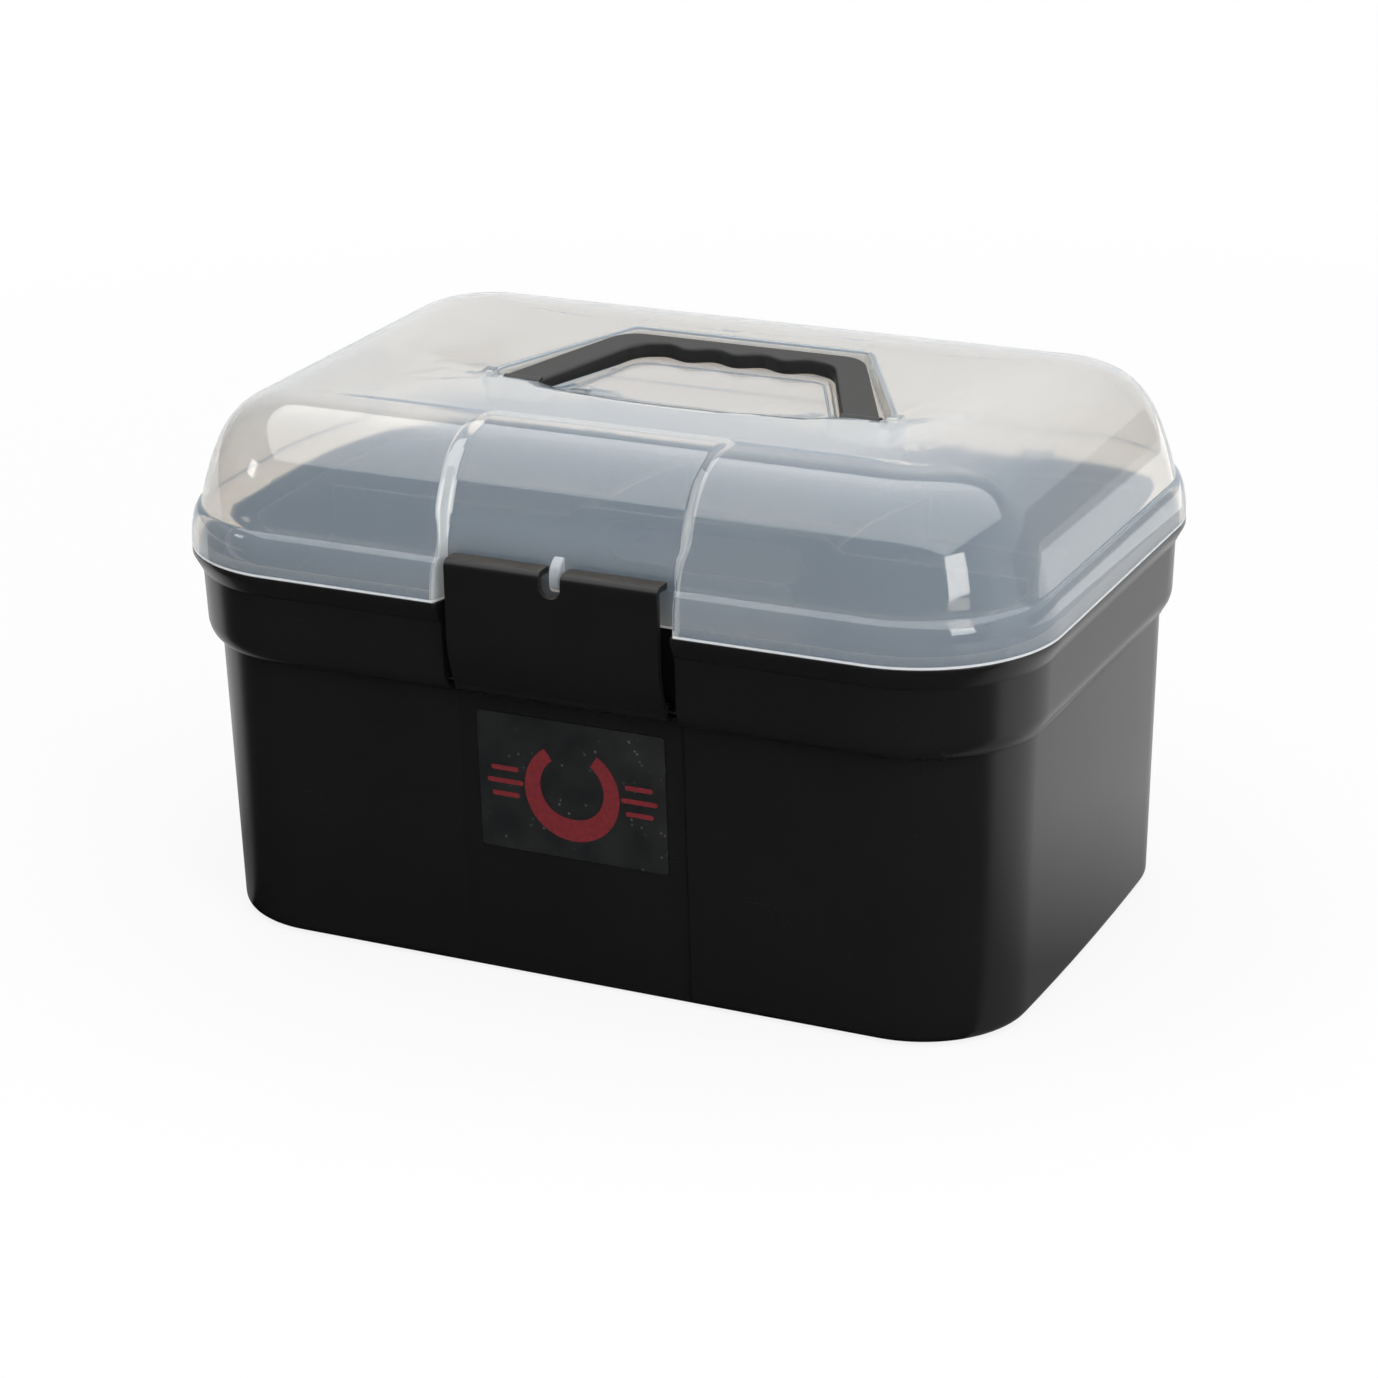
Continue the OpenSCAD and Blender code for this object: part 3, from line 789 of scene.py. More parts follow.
def make_lid():
    columns = step_columns(BAND_HALF, CHANNEL_SOFT, 10)
    outer, inner, sources = lid_levels()
    lid = rounded_plate("lid_shell", HALF_LENGTH, FRONT, BACK, CORNER_RADIUS, LID_Z, columns)
    raise_faces(LID_EDGE)
    pick_flat(1)
    inset_along([(0, LID_Z + LID_EDGE), *outer[1:]], 1)
    pick_level(TOP_Z)
    bpy.ops.mesh.delete(type="FACE")
    pick_level(LID_Z)
    inset_along([(0, LID_Z), *inner], -1)
    pick_level(TOP_Z - LID_WALL)
    bpy.ops.mesh.delete(type="FACE")
    rows = [(0, LID_Z, *channel(0, LID_Z), 0)]
    rows += [(inset, z, *channel(inset, z), 0) for inset, z in outer]
    rows += [(inset, z, *channel(*source), LID_WALL) for (inset, z), source in zip(inner, sources)]
    press_front(columns, BAND_HALF, CHANNEL_SOFT, rows)
    to_objects()
    pocket = [lid_pocket("pocket_face", 0, 1), lid_pocket("pocket_back", LID_WALL, -1)]
    lid = join([lid, *pocket], "lid_shell")
    open_mesh(lid)
    fill_between(TOP_Z)
    fill_between(TOP_Z - LID_WALL)
    sink_top()
    weld_points(lid)
    carve(lid, lid_fittings(), "UNION")
    carve(lid, lid_bores(), "DIFFERENCE")
    return lid


def paint_edge_glow(lid, foot_glow_milk, wall_glow_milk):
    """Painted glow where light scatters: whiter copies of the lid's plastic on the foot, and less so on
    the tooth and the steep walls.
    """
    lid.data.materials.append(foot_glow_milk)
    lid.data.materials.append(wall_glow_milk)
    points = lid.data.vertices
    margin = 0.004
    side_on, steep = 0.5, 0.75
    for face in lid.data.polygons:
        place = face.center
        foot = all(points[k].co.z < LID_Z + LID_EDGE + TINY for k in face.vertices) and place.y < BACK
        tooth = (abs(place.x) < TOOTH_HALF + TINY and place.y < CHANNEL_FACE - TINY
                 and abs(place.z - LATCH_TOP) < 2 * NOTCH_DEPTH)
        beside = abs(abs(place.x) - BAND_HALF - CHANNEL_EDGE / 2) < CHANNEL_EDGE
        recess = (abs(place.x) < POCKET_HALF + margin and place.z > POCKET_FLOOR - margin
                  and POCKET_FRONT - margin < place.y < POCKET_BACK + margin
                  and abs(face.normal.z) < steep)
        # The foot gets the brighter painted glow; the tooth, the pocket's steep walls and the channel's
        # sides get the fainter one.
        if foot:
            face.material_index = 1
        elif tooth or recess or (beside and place.y < FRONT / 2 and abs(face.normal.x) > side_on):
            face.material_index = 2


# The carry handle
def handle_stations():
    """Edge points of the handle in its own plane, from one foot round to the other."""
    inner_half = GRIP_HALF - LEG_SPAN
    inner_y = HANDLE_REACH - GRIP_DEPTH - WAVE_DEPTH
    wave = 2 * inner_half / FINGER_WAVES

    def inner_edge(x):
        return inner_y + WAVE_DEPTH * (1 - math.cos(2 * math.pi * (x + inner_half) / wave)) / 2

    outer_leg = Vector((HANDLE_HALF, 0))
    outer_turn = Vector((GRIP_HALF, HANDLE_REACH))
    inner_leg = Vector((HANDLE_HALF - FOOT_SPAN, 0))
    inner_rise = 0.0012
    inner_turn = Vector((inner_half, inner_y + inner_rise))
    outer_round = 0.010
    inner_round = 0.008
    leg_way = (outer_turn - outer_leg).normalized()
    inner_way = (inner_turn - inner_leg).normalized()
    leg_end = outer_turn - leg_way * outer_round
    inner_end = inner_turn - inner_way * inner_round
    half = []
    leg_steps = 6
    for k in range(leg_steps + 1):
        t = k / leg_steps
        half.append((outer_leg.lerp(leg_end, t), inner_leg.lerp(inner_end, t)))
    turn_steps = 8
    outer_stop = outer_turn - Vector((outer_round, 0))
    inner_stop = Vector((inner_half - inner_round, inner_edge(inner_half - inner_round)))
    for k in range(1, turn_steps + 1):
        t = k / turn_steps
        outer = bend(leg_end, outer_turn, outer_stop, t)
        half.append((outer, bend(inner_end, inner_turn, inner_stop, t)))
    grip_steps = 30
    for k in range(1, grip_steps + 1):
        t = k / grip_steps
        x = inner_stop.x * (1 - t)
        half.append((Vector((outer_stop.x * (1 - t), HANDLE_REACH)), Vector((x, inner_edge(x)))))
    other = [(Vector((-a.x, a.y)), Vector((-b.x, b.y))) for a, b in half[-2::-1]]
    return half + other


def make_handle():
    low = -HANDLE_THICK / 2
    pairs = handle_stations()
    stations = [((a.x, a.y, low), (b.x, b.y, low)) for a, b in pairs]
    handle = draw_strip("handle_moulding", stations)
    turn_faces(Vector((0, 0, 1)))
    raise_faces(HANDLE_THICK)

    def on_inner_edge(point):
        return point.co.z > 0 and min((point.co.xy - inner).length for outer, inner in pairs) < TINY

    pick("EDGE", lambda edge: all(on_inner_edge(point) for point in edge.verts))
    bpy.ops.mesh.bevel(offset=GRIP_ROUND, segments=6, affect="EDGES")
    feet = []
    for side in (-1, 1):
        ends = sorted([side * (HANDLE_HALF - FOOT_SPAN), side * HANDLE_HALF])
        feet.append(bar("foot", *ends, 0, 0, HANDLE_FOOT_RADIUS))
    carve(handle, join(feet, "feet"), "UNION")
    bevel_edges(handle, HANDLE_ROUND, 3, 55)
    put_down(handle, (HANDLE_TILT, 0, 0), (0, 0, PIVOT_Z))
    return handle


# The front latch
def latch_profile():
    """The plate's outer face in (y, z), from the barrel up to the end of the lip."""
    foot_y = BARREL_Y - BARREL_RADIUS
    steps = 12
    straight = 0.01
    made = []
    for k in range(steps + 1):
        t = k / steps
        made.append((LATCH_FACE + (foot_y - LATCH_FACE) * (1 - t) ** 2, BARREL_Z + LATCH_CURVE * t))
    made += [(LATCH_FACE, BARREL_Z + LATCH_CURVE + k * straight) for k in (1, 2)]
    made += arc((LATCH_FACE + LATCH_TURN, LATCH_TOP - LATCH_TURN), LATCH_TURN, 180, 90, 6)
    made.append((CHANNEL_FACE - PASS_GAP, LATCH_TOP))
    return made


def make_latch():
    stations = [((-LATCH_HALF, y, z), (LATCH_HALF, y, z)) for y, z in latch_profile()]
    latch = draw_strip("latch_moulding", stations)
    turn_faces(Vector((0, -1, 0)))
    apply_modifier(latch, "SOLIDIFY", thickness=LATCH_THICK, offset=-1, use_even_offset=True)
    carve(latch, notch_tool(), "DIFFERENCE")
    carve(latch, bar("barrel", -LATCH_HALF, LATCH_HALF, BARREL_Y, BARREL_Z, BARREL_RADIUS), "UNION")
    carve(latch, bar("bore", -2 * LATCH_HALF, 2 * LATCH_HALF, BARREL_Y, BARREL_Z, ROD_RADIUS + PIN_PLAY),
          "DIFFERENCE")
    bevel_edges(latch, EDGE_ROUND, 3, 45)
    return latch


def notch_tool():
    """A U-shaped punch for the notch in the latch's lip."""
    middle_z = LATCH_TOP - NOTCH_DEPTH + NOTCH_WIDTH / 2
    to_objects()
    bpy.ops.mesh.primitive_cylinder_add(
        vertices=40, radius=NOTCH_WIDTH / 2, depth=0.04, location=(0, LATCH_FACE, middle_z),
        rotation=(math.pi / 2, 0, 0))
    punch = settle("notch_punch")
    open_mesh(punch)
    pick("VERT", lambda point: point.co.z > middle_z + TINY)
    bpy.ops.transform.translate(value=(0, 0, NOTCH_DEPTH))
    to_objects()
    return punch


# The tray
def make_tray():
    foot_z = tray_low.z
    top_z = tray_high.z
    edge = TRAY_EDGE
    hip, inner_round, outer_round = 0.02, 0.003, 0.002
    rate = TRAY_TAPER / (top_z - foot_z)
    radius = CORNER_RADIUS - (HALF_LENGTH - tray_high.x)
    tray = rounded_plate("tray_moulding", tray_high.x, tray_low.y, tray_high.y, radius,
                         top_z - TRAY_BAND)
    raise_faces(TRAY_BAND - edge)
    pick_flat(1)
    inset_along(soften([
        (0, top_z - edge, 0), (0, top_z, edge), (TRAY_WALL, top_z, edge),
        (TRAY_WALL + rate * hip, top_z - hip, 0),
        (TRAY_WALL + TRAY_TAPER, foot_z + TRAY_WALL, inner_round),
        (TRAY_FLOOR_IN, foot_z + TRAY_WALL, 0)]), 1)
    pick_flat(-1)
    inset_along(soften([
        (0, top_z - TRAY_BAND, 0), (TRAY_TAPER, foot_z, outer_round), (TRAY_FLOOR_IN, foot_z, 0)]), -1)
    to_objects()
    for divider in (long_divider(), cross_divider(-DIVIDER_X), cross_divider(DIVIDER_X)):
        carve(tray, divider, "UNION")
    weld_points(tray)
    return tray


def long_divider():
    """The divider along the tray, with a raised middle and a hand slot."""
    floor = tray_low.z + TRAY_WALL / 2
    top = tray_high.z
    low = top - DIVIDER_DROP
    raised = SLOT_WIDTH / 2 + 0.012
    ramp, turn = 0.008, 0.006
    end_top = tray_high.x - TRAY_WALL / 2
    end_foot = end_top - TRAY_TAPER
    outline = soften([
        (-end_foot, floor, 0), (end_foot, floor, 0), (end_top, low, 0), (raised + ramp, low, turn),
        (raised, top, turn), (-raised, top, turn), (-raised - ramp, low, turn), (-end_top, low, 0)])
    divider = slab("divider", outline, -TRAY_WALL / 2, TRAY_WALL / 2)
    run = (SLOT_WIDTH - SLOT_HEIGHT) / 2
    middle = low - SLOT_HEIGHT / 2
    end = SLOT_HEIGHT / 2
    slot = arc((run, middle), end, -90, 90, 16) + arc((-run, middle), end, 90, 270, 16)
    carve(divider, slab("slot", slot, -5 * TRAY_WALL, 5 * TRAY_WALL), "DIFFERENCE")
    bevel_edges(divider, EDGE_ROUND, 2)
    put_down(divider, (0, 0, -math.pi / 2), (0, DIVIDER_Y, 0))
    return divider


def cross_divider(x):
    floor = tray_low.z + TRAY_WALL / 2
    low = tray_high.z - DIVIDER_DROP
    back = tray_high.y - TRAY_WALL / 2
    corners = [(DIVIDER_Y, floor), (back - TRAY_TAPER, floor), (back, low), (DIVIDER_Y, low)]
    divider = slab("divider", corners, x - TRAY_WALL / 2, x + TRAY_WALL / 2)
    bevel_edges(divider, EDGE_ROUND, 2)
    return divider


# The label and its print
LABEL_LEAN = math.atan(TAPER_RATE)
LABEL_Z = (label_low.z + label_high.z) / 2
LABEL_HALF_HEIGHT = (label_high.z - label_low.z) / 2


def stand_on_band(piece, lift):
    """Stands a flat piece that was drawn on the floor upright on the band's face."""
    put_down(piece, (math.pi / 2 + LABEL_LEAN, 0, 0), (0, band_y(LABEL_Z) - lift, LABEL_Z))


def make_label():
    label = rounded_plate("label_film", label_high.x, -LABEL_HALF_HEIGHT, LABEL_HALF_HEIGHT,
                          LABEL_CORNER, 0)
    raise_faces(LABEL_THICK)
    bevel_edges(label, LABEL_ROUND, 2)
    stand_on_band(label, LABEL_GAP)
    return label


def horseshoe():
    """A plain horseshoe drawn as a strip round its arc, widest at the toe."""
    steps = 40
    opening = math.radians(38)
    middle, pinch, tall = 0.0185, 0.0012, 1.12
    heel, toe, outside = 0.0036, 0.0022, 0.55
    stations = []
    for k in range(steps + 1):
        share = k / steps
        angle = math.pi / 2 + opening + (2 * math.pi - 2 * opening) * share
        web = heel + toe * math.sin(math.pi * share)
        stretch = middle + pinch * math.cos(2 * angle)
        way = Vector((math.cos(angle), tall * math.sin(angle), 0))
        stations.append((tuple(way * (stretch - web)), tuple(way * (stretch + web * outside))))
    shoe = draw_strip("label_print", stations)
    turn_faces(Vector((0, 0, 1)))
    raise_faces(PRINT_THICK)
    return shoe


def print_stripe(x, y, half_x, half_y):
    stripe = rounded_plate("stripe", half_x, -half_y, half_y, half_y * 0.9, 0)
    raise_faces(PRINT_THICK)
    put_down(stripe, place=(x, y, 0))
    return stripe


def make_print():
    parts = [horseshoe()]
    out, apart, half_height = 0.0315, 0.006, 0.0011
    for side in (-1, 1):
        for k, reach in enumerate((0.0065, 0.0085, 0.0065)):
            parts.append(print_stripe(side * out, apart * (1 - k), reach, half_height))
    print_piece = join(parts, "label_print")
    stand_on_band(print_piece, LABEL_GAP + LABEL_THICK)
    return print_piece


# Materials: small helpers for nodes
def node(tree, kind, **inputs):
    """Adds a node and sets its inputs by name; a socket as a value is linked."""
    made = tree.nodes.new(kind)
    for name, value in inputs.items():
        put(tree, made.inputs[name.replace("_", " ")], value)
    return made


def put(tree, socket, value):
    if isinstance(value, bpy.types.NodeSocket):
        tree.links.new(value, socket)
    else:
        socket.default_value = value


def maths(tree, operation, first, second=0.5):
    made = tree.nodes.new("ShaderNodeMath")
    made.operation = operation
    put(tree, made.inputs[0], first)
    put(tree, made.inputs[1], second)
    return made.outputs[0]


def blend_colour(tree, factor, first, second):
    made = tree.nodes.new("ShaderNodeMix")
    made.data_type = "RGBA"
    put(tree, made.inputs["Factor"], factor)
    put(tree, made.inputs["A"], first)
    put(tree, made.inputs["B"], second)
    return made.outputs["Result"]


def span(tree, value, low, high, to_low=0.0, to_high=1.0):
    """Maps a value from one range to another and keeps it inside."""
    made = node(tree, "ShaderNodeMapRange", Value=value)
    made.inputs["From Min"].default_value = low
    made.inputs["From Max"].default_value = high
    made.inputs["To Min"].default_value = to_low
    made.inputs["To Max"].default_value = to_high
    return made.outputs["Result"]


def object_place(tree):
    return node(tree, "ShaderNodeTexCoord").outputs["Object"]


def noise(tree, where, scale, detail, roughness=0.5):
    return node(tree, "ShaderNodeTexNoise", Vector=where, Scale=scale, Detail=detail,
                Roughness=roughness).outputs[0]


def relief(tree, height, strength, distance):
    return node(tree, "ShaderNodeBump", Height=height, Strength=strength, Distance=distance).outputs[0]


def principled(tree, tone, rough, normal):
    """A plain shader with a colour, a roughness and a relief that change over the surface."""
    return node(tree, "ShaderNodeBsdfPrincipled", Base_Color=tone, Roughness=rough, Normal=normal)


def mix_shaders(tree, factor, first, second):
    made = node(tree, "ShaderNodeMixShader", Fac=factor)
    tree.links.new(first.outputs[0], made.inputs[1])
    tree.links.new(second.outputs[0], made.inputs[2])
    return made


def to_surface(tree, output, shader):
    tree.links.new(shader.outputs[0], output.inputs["Surface"])


def new_material(name):
    material = bpy.data.materials.new(name)
    material.use_nodes = True
    tree = material.node_tree
    tree.nodes.clear()
    output = tree.nodes.new("ShaderNodeOutputMaterial")
    return material, tree, output


def new_group(name, inputs, outputs):
    """A shader node group with float inputs and outputs by name."""
    group = bpy.data.node_groups.new(name, "ShaderNodeTree")
    for socket in inputs:
        group.interface.new_socket(socket, in_out="INPUT", socket_type="NodeSocketFloat")
    for socket in outputs:
        group.interface.new_socket(socket, in_out="OUTPUT", socket_type="NodeSocketFloat")
    return group, group.nodes.new("NodeGroupInput"), group.nodes.new("NodeGroupOutput")


def place_group(tree, group, **inputs):
    made = tree.nodes.new("ShaderNodeGroup")
    made.node_tree = group
    for name, value in inputs.items():
        put(tree, made.inputs[name], value)
    return made


def moulded_grain():
    """Fine grain, soft mottling and thin scuffs of a moulded plastic face."""
    group, given, made = new_group("moulded_grain", ["Grain", "Waves", "Scuffs"],
                                   ["Height", "Mottle", "Scuff"])
    where = object_place(group)
    fine = noise(group, where, 2600.0, 2.0, 0.6)
    wave = noise(group, where, 34.0, 2.0)
    height = maths(group, "MULTIPLY", fine, given.outputs["Grain"])
    height = maths(group, "ADD", height, maths(group, "MULTIPLY", wave, given.outputs["Waves"]))
    group.links.new(height, made.inputs["Height"])
    cloud = noise(group, where, 11.0, 4.0, 0.55)
    group.links.new(span(group, cloud, 0.35, 0.7), made.inputs["Mottle"])
    streaks = node(group, "ShaderNodeMapping", Vector=where, Rotation=(0.3, 0.5, 0.7),
                   Scale=(3.0, 60.0, 60.0))
    lines = noise(group, streaks.outputs[0], 9.0, 3.0, 0.7)
    thin = span(group, lines, 0.66, 0.72)
    group.links.new(maths(group, "MULTIPLY", thin, given.outputs["Scuffs"]), made.inputs["Scuff"])
    return group


GRAIN = moulded_grain()


def black_moulding(name, colour, pale, roughness, spread, grain, waves, scuffs, specular):
    """Black moulded plastic: a dark colour, a paler one in the mottling, and its gloss."""
    material, tree, output = new_material(name)
    touch = place_group(tree, GRAIN, Grain=grain, Waves=waves, Scuffs=scuffs)
    mottle, scuff = touch.outputs["Mottle"], touch.outputs["Scuff"]
    tone = blend_colour(tree, mottle, (*colour, 1), (*pale, 1))
    tone = blend_colour(tree, maths(tree, "MULTIPLY", scuff, 0.35), tone, (0.10, 0.10, 0.10, 1))
    rough = span(tree, mottle, 0, 1, roughness - spread, roughness + spread)
    rough = maths(tree, "ADD", rough, maths(tree, "MULTIPLY", scuff, 0.12))
    shader = principled(tree, tone, rough, relief(tree, touch.outputs["Height"], 0.12, 0.0002))
    shader.inputs["Specular IOR Level"].default_value = specular
    to_surface(tree, output, shader)
    return material


def milky_plastic(name, milk, pale, deep):
    """The lid's see-through plastic: a warm clear part and a cloudy part, with one gloss."""
    material, tree, output = new_material(name)
    touch = place_group(tree, GRAIN, Grain=0.0, Waves=0.15, Scuffs=0.4)
    bump = relief(tree, touch.outputs["Height"], 0.06, 0.0002)
    rough = span(tree, touch.outputs["Mottle"], 0, 1, 0.035, 0.07)
    rough = maths(tree, "ADD", rough, maths(tree, "MULTIPLY", touch.outputs["Scuff"], 0.10))
    clear = principled(tree, (0.98, 0.875, 0.745, 1), rough, bump)
    clear.inputs["Transmission Weight"].default_value = 1.0
    tone = blend_colour(tree, touch.outputs["Mottle"], (*deep, 1), (*pale, 1))
    cloudy = principled(tree, tone, rough, bump)
    for shader in (clear, cloudy):
        shader.inputs["IOR"].default_value = 1.49
    body = mix_shaders(tree, milk, clear, cloudy)
    pass_light = node(tree, "ShaderNodeBsdfTransparent", Color=(0.80, 0.79, 0.77, 1))
    lamp = node(tree, "ShaderNodeLightPath")
    to_surface(tree, output, mix_shaders(tree, lamp.outputs["Is Shadow Ray"], body, pass_light))
    return material


def label_film_finish():
    """Dark grey printed film with fine pale specks."""
    material, tree, output = new_material("label_film")
    where = object_place(tree)
    cells = node(tree, "ShaderNodeTexVoronoi", Vector=where, Scale=330.0, Randomness=1.0)
    speck = maths(tree, "MULTIPLY", span(tree, cells.outputs["Distance"], 0.22, 0.10),
                  span(tree, noise(tree, where, 120.0, 1.0), 0.56, 0.62))
    cloud = noise(tree, where, 60.0, 4.0)
    ground = blend_colour(tree, span(tree, cloud, 0.35, 0.7), (0.013, 0.014, 0.015, 1),
                          (0.021, 0.022, 0.022, 1))
    tone = blend_colour(tree, maths(tree, "MULTIPLY", speck, 0.8), ground, (0.12, 0.125, 0.12, 1))
    rough = span(tree, cloud, 0.35, 0.7, 0.34, 0.44)
    to_surface(tree, output, principled(tree, tone, rough, relief(tree, cloud, 0.08, 0.0001)))
    return material


def red_ink_finish():
    """Deep red print with worn patches."""
    material, tree, output = new_material("red_ink")
    where = object_place(tree)
    worn = noise(tree, where, 420.0, 5.0, 0.65)
    tone = blend_colour(tree, span(tree, worn, 0.3, 0.7), (0.235, 0.012, 0.020, 1),
                        (0.150, 0.008, 0.013, 1))
    rough = span(tree, worn, 0.3, 0.7, 0.38, 0.50)
    to_surface(tree, output, principled(tree, tone, rough, relief(tree, worn, 0.10, 0.0001)))
    return material


def steel_finish(name, dark, bright):
    """Drawn steel wire of the pins and the rod."""
    material, tree, output = new_material(name)
    where = object_place(tree)
    drawn = node(tree, "ShaderNodeMapping", Vector=where, Scale=(40.0, 2200.0, 2200.0))
    lines = noise(tree, drawn.outputs[0], 1.0, 3.0)
    tone = blend_colour(tree, lines, (dark, dark, dark, 1), (bright, bright, bright, 1))
    rough = span(tree, lines, 0.2, 0.8, 0.22, 0.42)
    shader = principled(tree, tone, rough, relief(tree, lines, 0.10, 0.00005))
    shader.inputs["Metallic"].default_value = 1.0
    to_surface(tree, output, shader)
    return material


# The camera, as the photograph was taken
IMAGE_SIDE = 1378
FOCAL_PIXELS = 3841.84
CAMERA_PLACE = Vector((0.68915, -1.44838, 0.71359))
CAMERA_WAY = Vector((-0.40199, 0.84179, -0.36026)).normalized()
CAMERA_ROLL = math.radians(-1.07)


def make_camera():
    right = CAMERA_WAY.cross(Vector((0, 0, 1))).normalized()
    up = right.cross(CAMERA_WAY)
    turned = right * math.cos(CAMERA_ROLL) + up * math.sin(CAMERA_ROLL)
    upright = up * math.cos(CAMERA_ROLL) - right * math.sin(CAMERA_ROLL)
    to_objects()
    bpy.ops.object.camera_add()
    camera = bpy.context.object
    camera.name = "photo_camera"
    camera.data.sensor_width = 36
    camera.data.lens = FOCAL_PIXELS / IMAGE_SIDE * camera.data.sensor_width
    camera.data.clip_end = 50
    axes = Matrix((turned, upright, -CAMERA_WAY)).transposed().to_4x4()
    camera.matrix_world = Matrix.Translation(CAMERA_PLACE) @ axes
    bpy.context.scene.camera = camera


# Floor, light and surroundings
WHITE = (1, 1, 1, 1)
FLOOR_GLOW = 0.86
# The floor's glow for shiny faces next to the tub: painted shadow.
PAINTED_SHADOW_SHINE = 0.25
FAR_SHINE = 0.85
BOX_SHINE = 2.7
REFLECTOR_SHINE = 1.9
WORLD_LIGHT = 0.25
FRONT_GLOSS = 0.04
HIGH_GLOSS = 0.35
FLAG_PLACE = (1.55, 1.35, 0.37)
FLAG_SIZE = (1.9, 0.46, 1)
FLAG_TURN = math.radians(49)
FLAG_SHINE = 0.45


def flat_card(name, low, high, z):
    """A level card between two corners, for the stage."""
    card = rectangle(name, low, high, z)
    return card


def make_floor():
    floor = flat_card("floor", (-6, -6), (6, 6), 0)
    material, tree, output = new_material("pale_floor")
    where = object_place(tree)
    tone = blend_colour(tree, noise(tree, where, 2.0, 2.0), (0.86, 0.86, 0.86, 1), (0.88, 0.88, 0.88, 1))
    matt = node(tree, "ShaderNodeBsdfDiffuse", Color=tone)
    away = node(tree, "ShaderNodeVectorMath", Vector=where)
    away.operation = "LENGTH"
    glow = span(tree, away.outputs["Value"], 0.3, 1.3, FLOOR_GLOW, 1.0)
    # Painted shadow: for shiny faces the floor glows less close beside the tub's ends and in front, and
    # more further away.
    across = node(tree, "ShaderNodeSeparateXYZ", Vector=where)
    beside = maths(tree, "SUBTRACT", maths(tree, "ABSOLUTE", across.outputs["X"]), HALF_LENGTH)
    clear = maths(tree, "ADD", beside, across.outputs["Y"])
    shine = span(tree, clear, -0.02, 0.2, PAINTED_SHADOW_SHINE, FAR_SHINE)
    path = node(tree, "ShaderNodeLightPath")
    seen = maths(tree, "MAXIMUM", path.outputs["Is Camera Ray"], path.outputs["Is Transmission Ray"])
    share = maths(tree, "MAXIMUM", maths(tree, "MULTIPLY", seen, glow), path.outputs["Is Glossy Ray"])
    strength = maths(tree, "MAXIMUM", seen, shine)
    white = node(tree, "ShaderNodeEmission", Color=WHITE, Strength=strength)
    to_surface(tree, output, mix_shaders(tree, share, matt, white))
    floor.data.materials.append(material)


def make_painted_shade_card():
    """A black card on the floor in front, which only shiny faces see: painted shade for the floor in
    front, which lies in the object's shadow.
    """
    card = flat_card("painted_shade_card", (-2.5, -2.6), (1.3, -0.105), 0.001)
    material, tree, output = new_material("painted_shade_black")
    where = object_place(tree)
    across = node(tree, "ShaderNodeSeparateXYZ", Vector=where).outputs["X"]
    matt = node(tree, "ShaderNodeBsdfDiffuse", Color=(0.004, 0.004, 0.004, 1))
    gone = node(tree, "ShaderNodeBsdfTransparent")
    # The painted shade fades out towards the right.
    to_surface(tree, output, mix_shaders(tree, span(tree, across, 0.6, 1.3), matt, gone))
    card.data.materials.append(material)
    shine_only(card)


def shine_only(card):
    """Hides a card of the stage from everything but shiny faces."""
    card.visible_camera = False
    card.visible_diffuse = False
    card.visible_transmission = False
    card.visible_shadow = False


def light_up(card, name, glow):
    """Gives a card of the stage an even glow that only shiny faces see."""
    material, tree, output = new_material(name)
    to_surface(tree, output, node(tree, "ShaderNodeEmission", Color=WHITE, Strength=glow))
    card.data.materials.append(material)
    shine_only(card)


def make_flag():
    """A dim upright flag behind on the right."""
    to_objects()
    bpy.ops.mesh.primitive_plane_add(size=1, location=FLAG_PLACE, rotation=(math.pi / 2, 0, -FLAG_TURN))
    bpy.context.object.scale = FLAG_SIZE
    flag = settle("dark_flag")
    light_up(flag, "flag_cloth", FLAG_SHINE)


def make_world():
    """White all round for the eye, dim for the light, and dark in front for shiny faces."""
    world = bpy.data.worlds.new("studio")
    bpy.context.scene.world = world
    world.use_nodes = True
    tree = world.node_tree
    tree.nodes.clear()
    output = tree.nodes.new("ShaderNodeOutputWorld")
    path = node(tree, "ShaderNodeLightPath")
    around = node(tree, "ShaderNodeTexCoord").outputs["Generated"]
    way = node(tree, "ShaderNodeSeparateXYZ", Vector=around)
    behind = maths(tree, "ADD", way.outputs["Y"], maths(tree, "MULTIPLY", way.outputs["X"], 0.5))
    room = span(tree, behind, 0.0, 0.5, FRONT_GLOSS, 1.0)
    room = maths(tree, "MULTIPLY", room, span(tree, way.outputs["Z"], 0.45, 0.60, 1.0, HIGH_GLOSS))
    shine = maths(tree, "MULTIPLY", path.outputs["Is Glossy Ray"], room)
    fill = maths(tree, "MULTIPLY", path.outputs["Is Diffuse Ray"], WORLD_LIGHT)
    seen = maths(tree, "MAXIMUM", path.outputs["Is Camera Ray"], path.outputs["Is Transmission Ray"])
    strength = maths(tree, "MAXIMUM", seen, maths(tree, "MAXIMUM", shine, fill))
    to_surface(tree, output, node(tree, "ShaderNodeBackground", Color=WHITE, Strength=strength))


def softbox(name, place, target, size_x, size_y, glow):
    """A lamp with a flat square face that looks at a place; its glow is its brightness as seen."""
    to_objects()
    bpy.ops.object.light_add(type="AREA", location=place)
    lamp = bpy.context.object
    lamp.name = name
    lamp.data.shape = "RECTANGLE"
    lamp.data.size = size_x
    lamp.data.size_y = size_y
    lamp.data.energy = glow * math.pi * size_x * size_y
    lamp.rotation_euler = (Vector(target) - Vector(place)).to_track_quat("-Z", "Y").to_euler()
    lamp.visible_camera = False
    return lamp


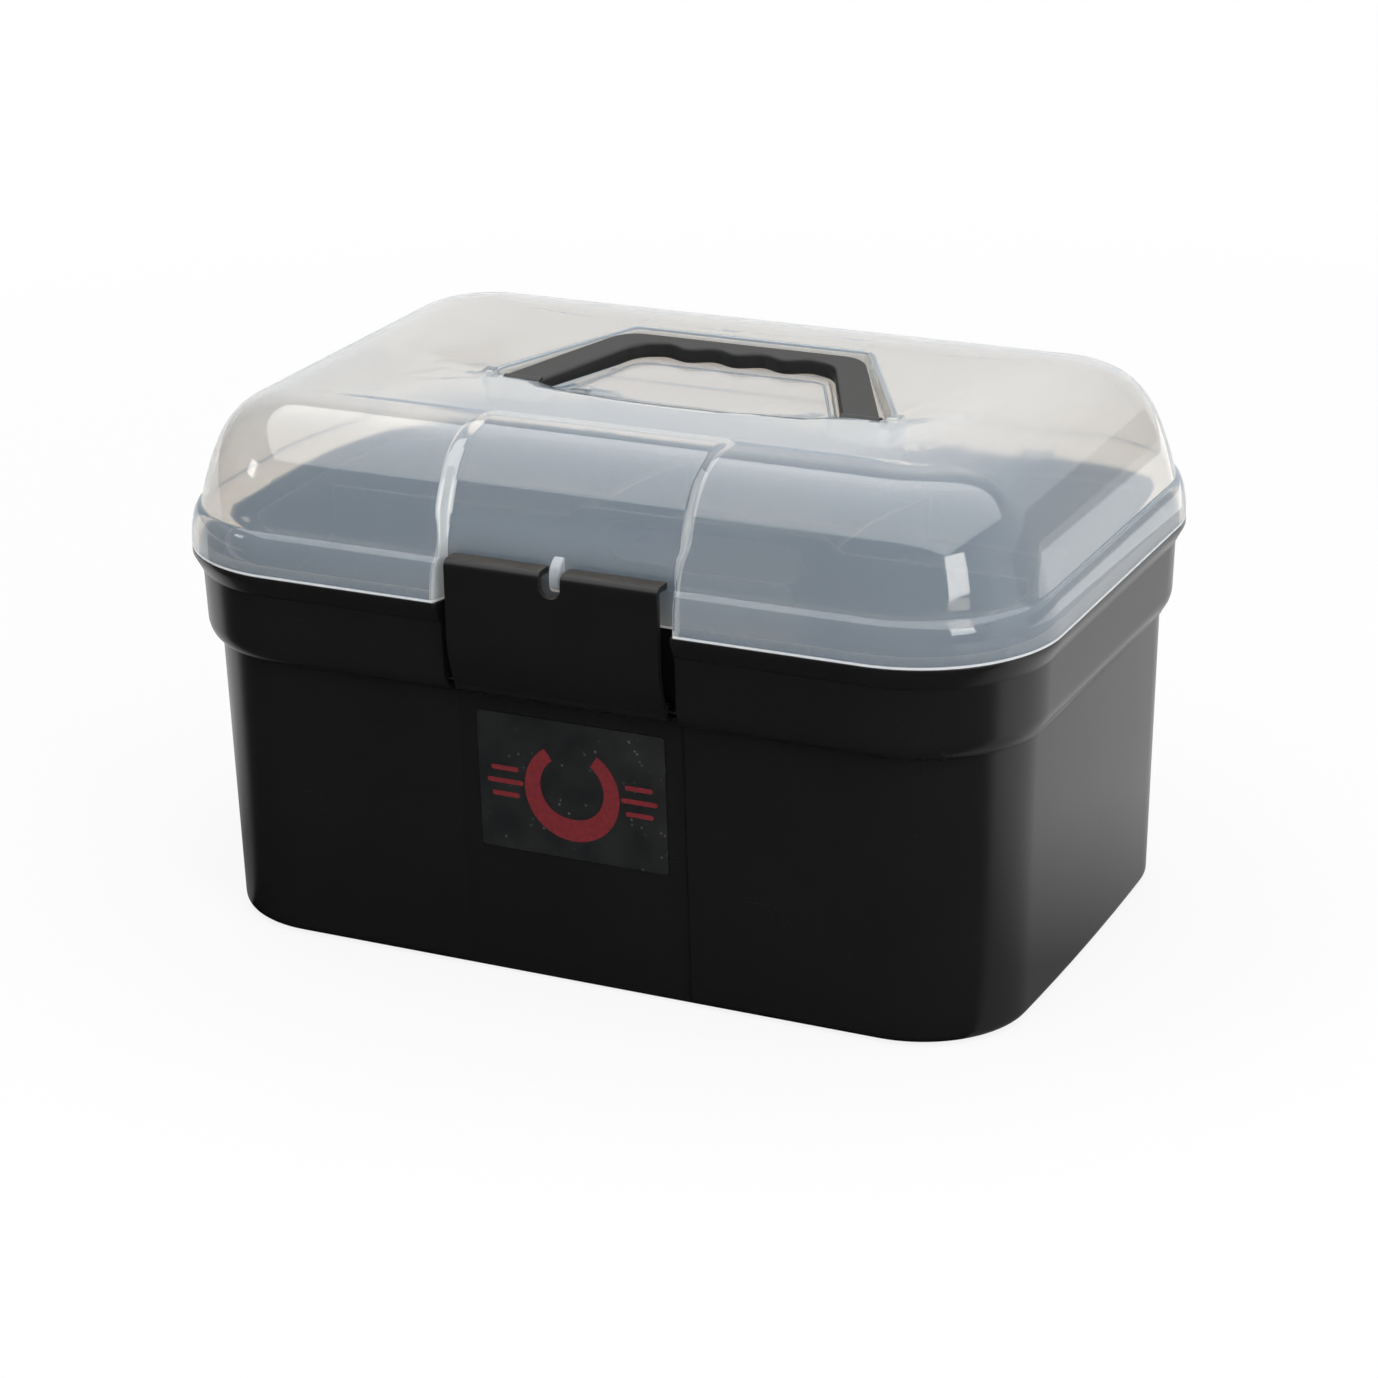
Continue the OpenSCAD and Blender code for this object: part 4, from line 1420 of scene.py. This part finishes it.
# The scene
bpy.context.scene.view_settings.view_transform = "Standard"
make_camera()
make_world()
make_floor()
make_painted_shade_card()
overhead = flat_card("overhead_glow", (-1.3, -1.75), (2.0, 1.15), 1.45)
light_up(overhead, "overhead_glow_cloth", BOX_SHINE)
reflector = flat_card("right_reflector", (0.35, 0.75), (2.6, 2.7), 0.002)
light_up(reflector, "right_reflector_cloth", REFLECTOR_SHINE)
make_flag()
softbox("overhead_box", (0.3, -0.2, 1.5), (0.3, -0.2, 0), 3.2, 2.9, 1.5).visible_glossy = False
softbox("right_panel", (1.73, -1.18, 0.86), (0.17, -0.12, 0.2), 0.65, 0.60, 7.0)
softbox("left_panel", (-1.73, -1.18, 0.86), (-0.17, -0.12, 0.2), 0.30, 0.30, 7.0)

black = black_moulding(
    "black_plastic", (0.0090, 0.0090, 0.0092), (0.0105, 0.0103, 0.0101),
    roughness=0.26, spread=0.015, grain=0.4, waves=0.05, scuffs=0.06, specular=0.5)
satin = black_moulding(
    "handle_plastic", (0.014, 0.0135, 0.013), (0.017, 0.0165, 0.016),
    roughness=0.42, spread=0.03, grain=0.8, waves=0.1, scuffs=0.4, specular=0.3)
latch_black = black_moulding(
    "latch_plastic", (0.0085, 0.0085, 0.0085), (0.010, 0.0098, 0.0096),
    roughness=0.30, spread=0.015, grain=0.5, waves=0.05, scuffs=0.1, specular=0.25)
tray_black = black_moulding(
    "tray_plastic", (0.007, 0.007, 0.0075), (0.010, 0.010, 0.010),
    roughness=0.36, spread=0.03, grain=1.0, waves=0.35, scuffs=0.5, specular=0.5)
milky = milky_plastic("milky_plastic", 0.19, (0.50, 0.63, 0.78), (0.46, 0.60, 0.77))
# Whiter copies of the lid's plastic: painted glow for its foot and steep walls, where light scatters.
foot_glow_milk = milky_plastic("painted_foot_glow", 0.75, (0.88, 0.90, 0.92), (0.84, 0.87, 0.90))
wall_glow_milk = milky_plastic("painted_wall_glow", 0.45, (0.74, 0.80, 0.86), (0.70, 0.77, 0.84))
steel = steel_finish("drawn_steel", 0.50, 0.63)
# Very dark steel for the latch rod, which sits in the dark gaps beside the latch.
very_dark_steel = steel_finish("very_dark_rod_steel", 0.020, 0.032)

dress(make_tub(), "tub", "black_plastic", black, "tub")
lid = dress(make_lid(), "lid", "milky_plastic", milky, "lid")
paint_edge_glow(lid, foot_glow_milk, wall_glow_milk)
dress(make_handle(), "handle", "handle_plastic", satin, "carry_handle")
dress(make_latch(), "latch", "black_plastic", latch_black, "front_latch")
dress(make_tray(), "tray", "tray_plastic", tray_black, "lift_out_tray")
dress(make_label(), "tub", "label_film", label_film_finish(), "front_label")
dress(make_print(), "tub", "label_film", red_ink_finish())
for name in ("hinge_pin_left", "hinge_pin_right", "latch_rod", "handle_pin_left", "handle_pin_right"):
    nodes[name].data.materials.clear()
    nodes[name].data.materials.append(very_dark_steel if name == "latch_rod" else steel)

to_objects()
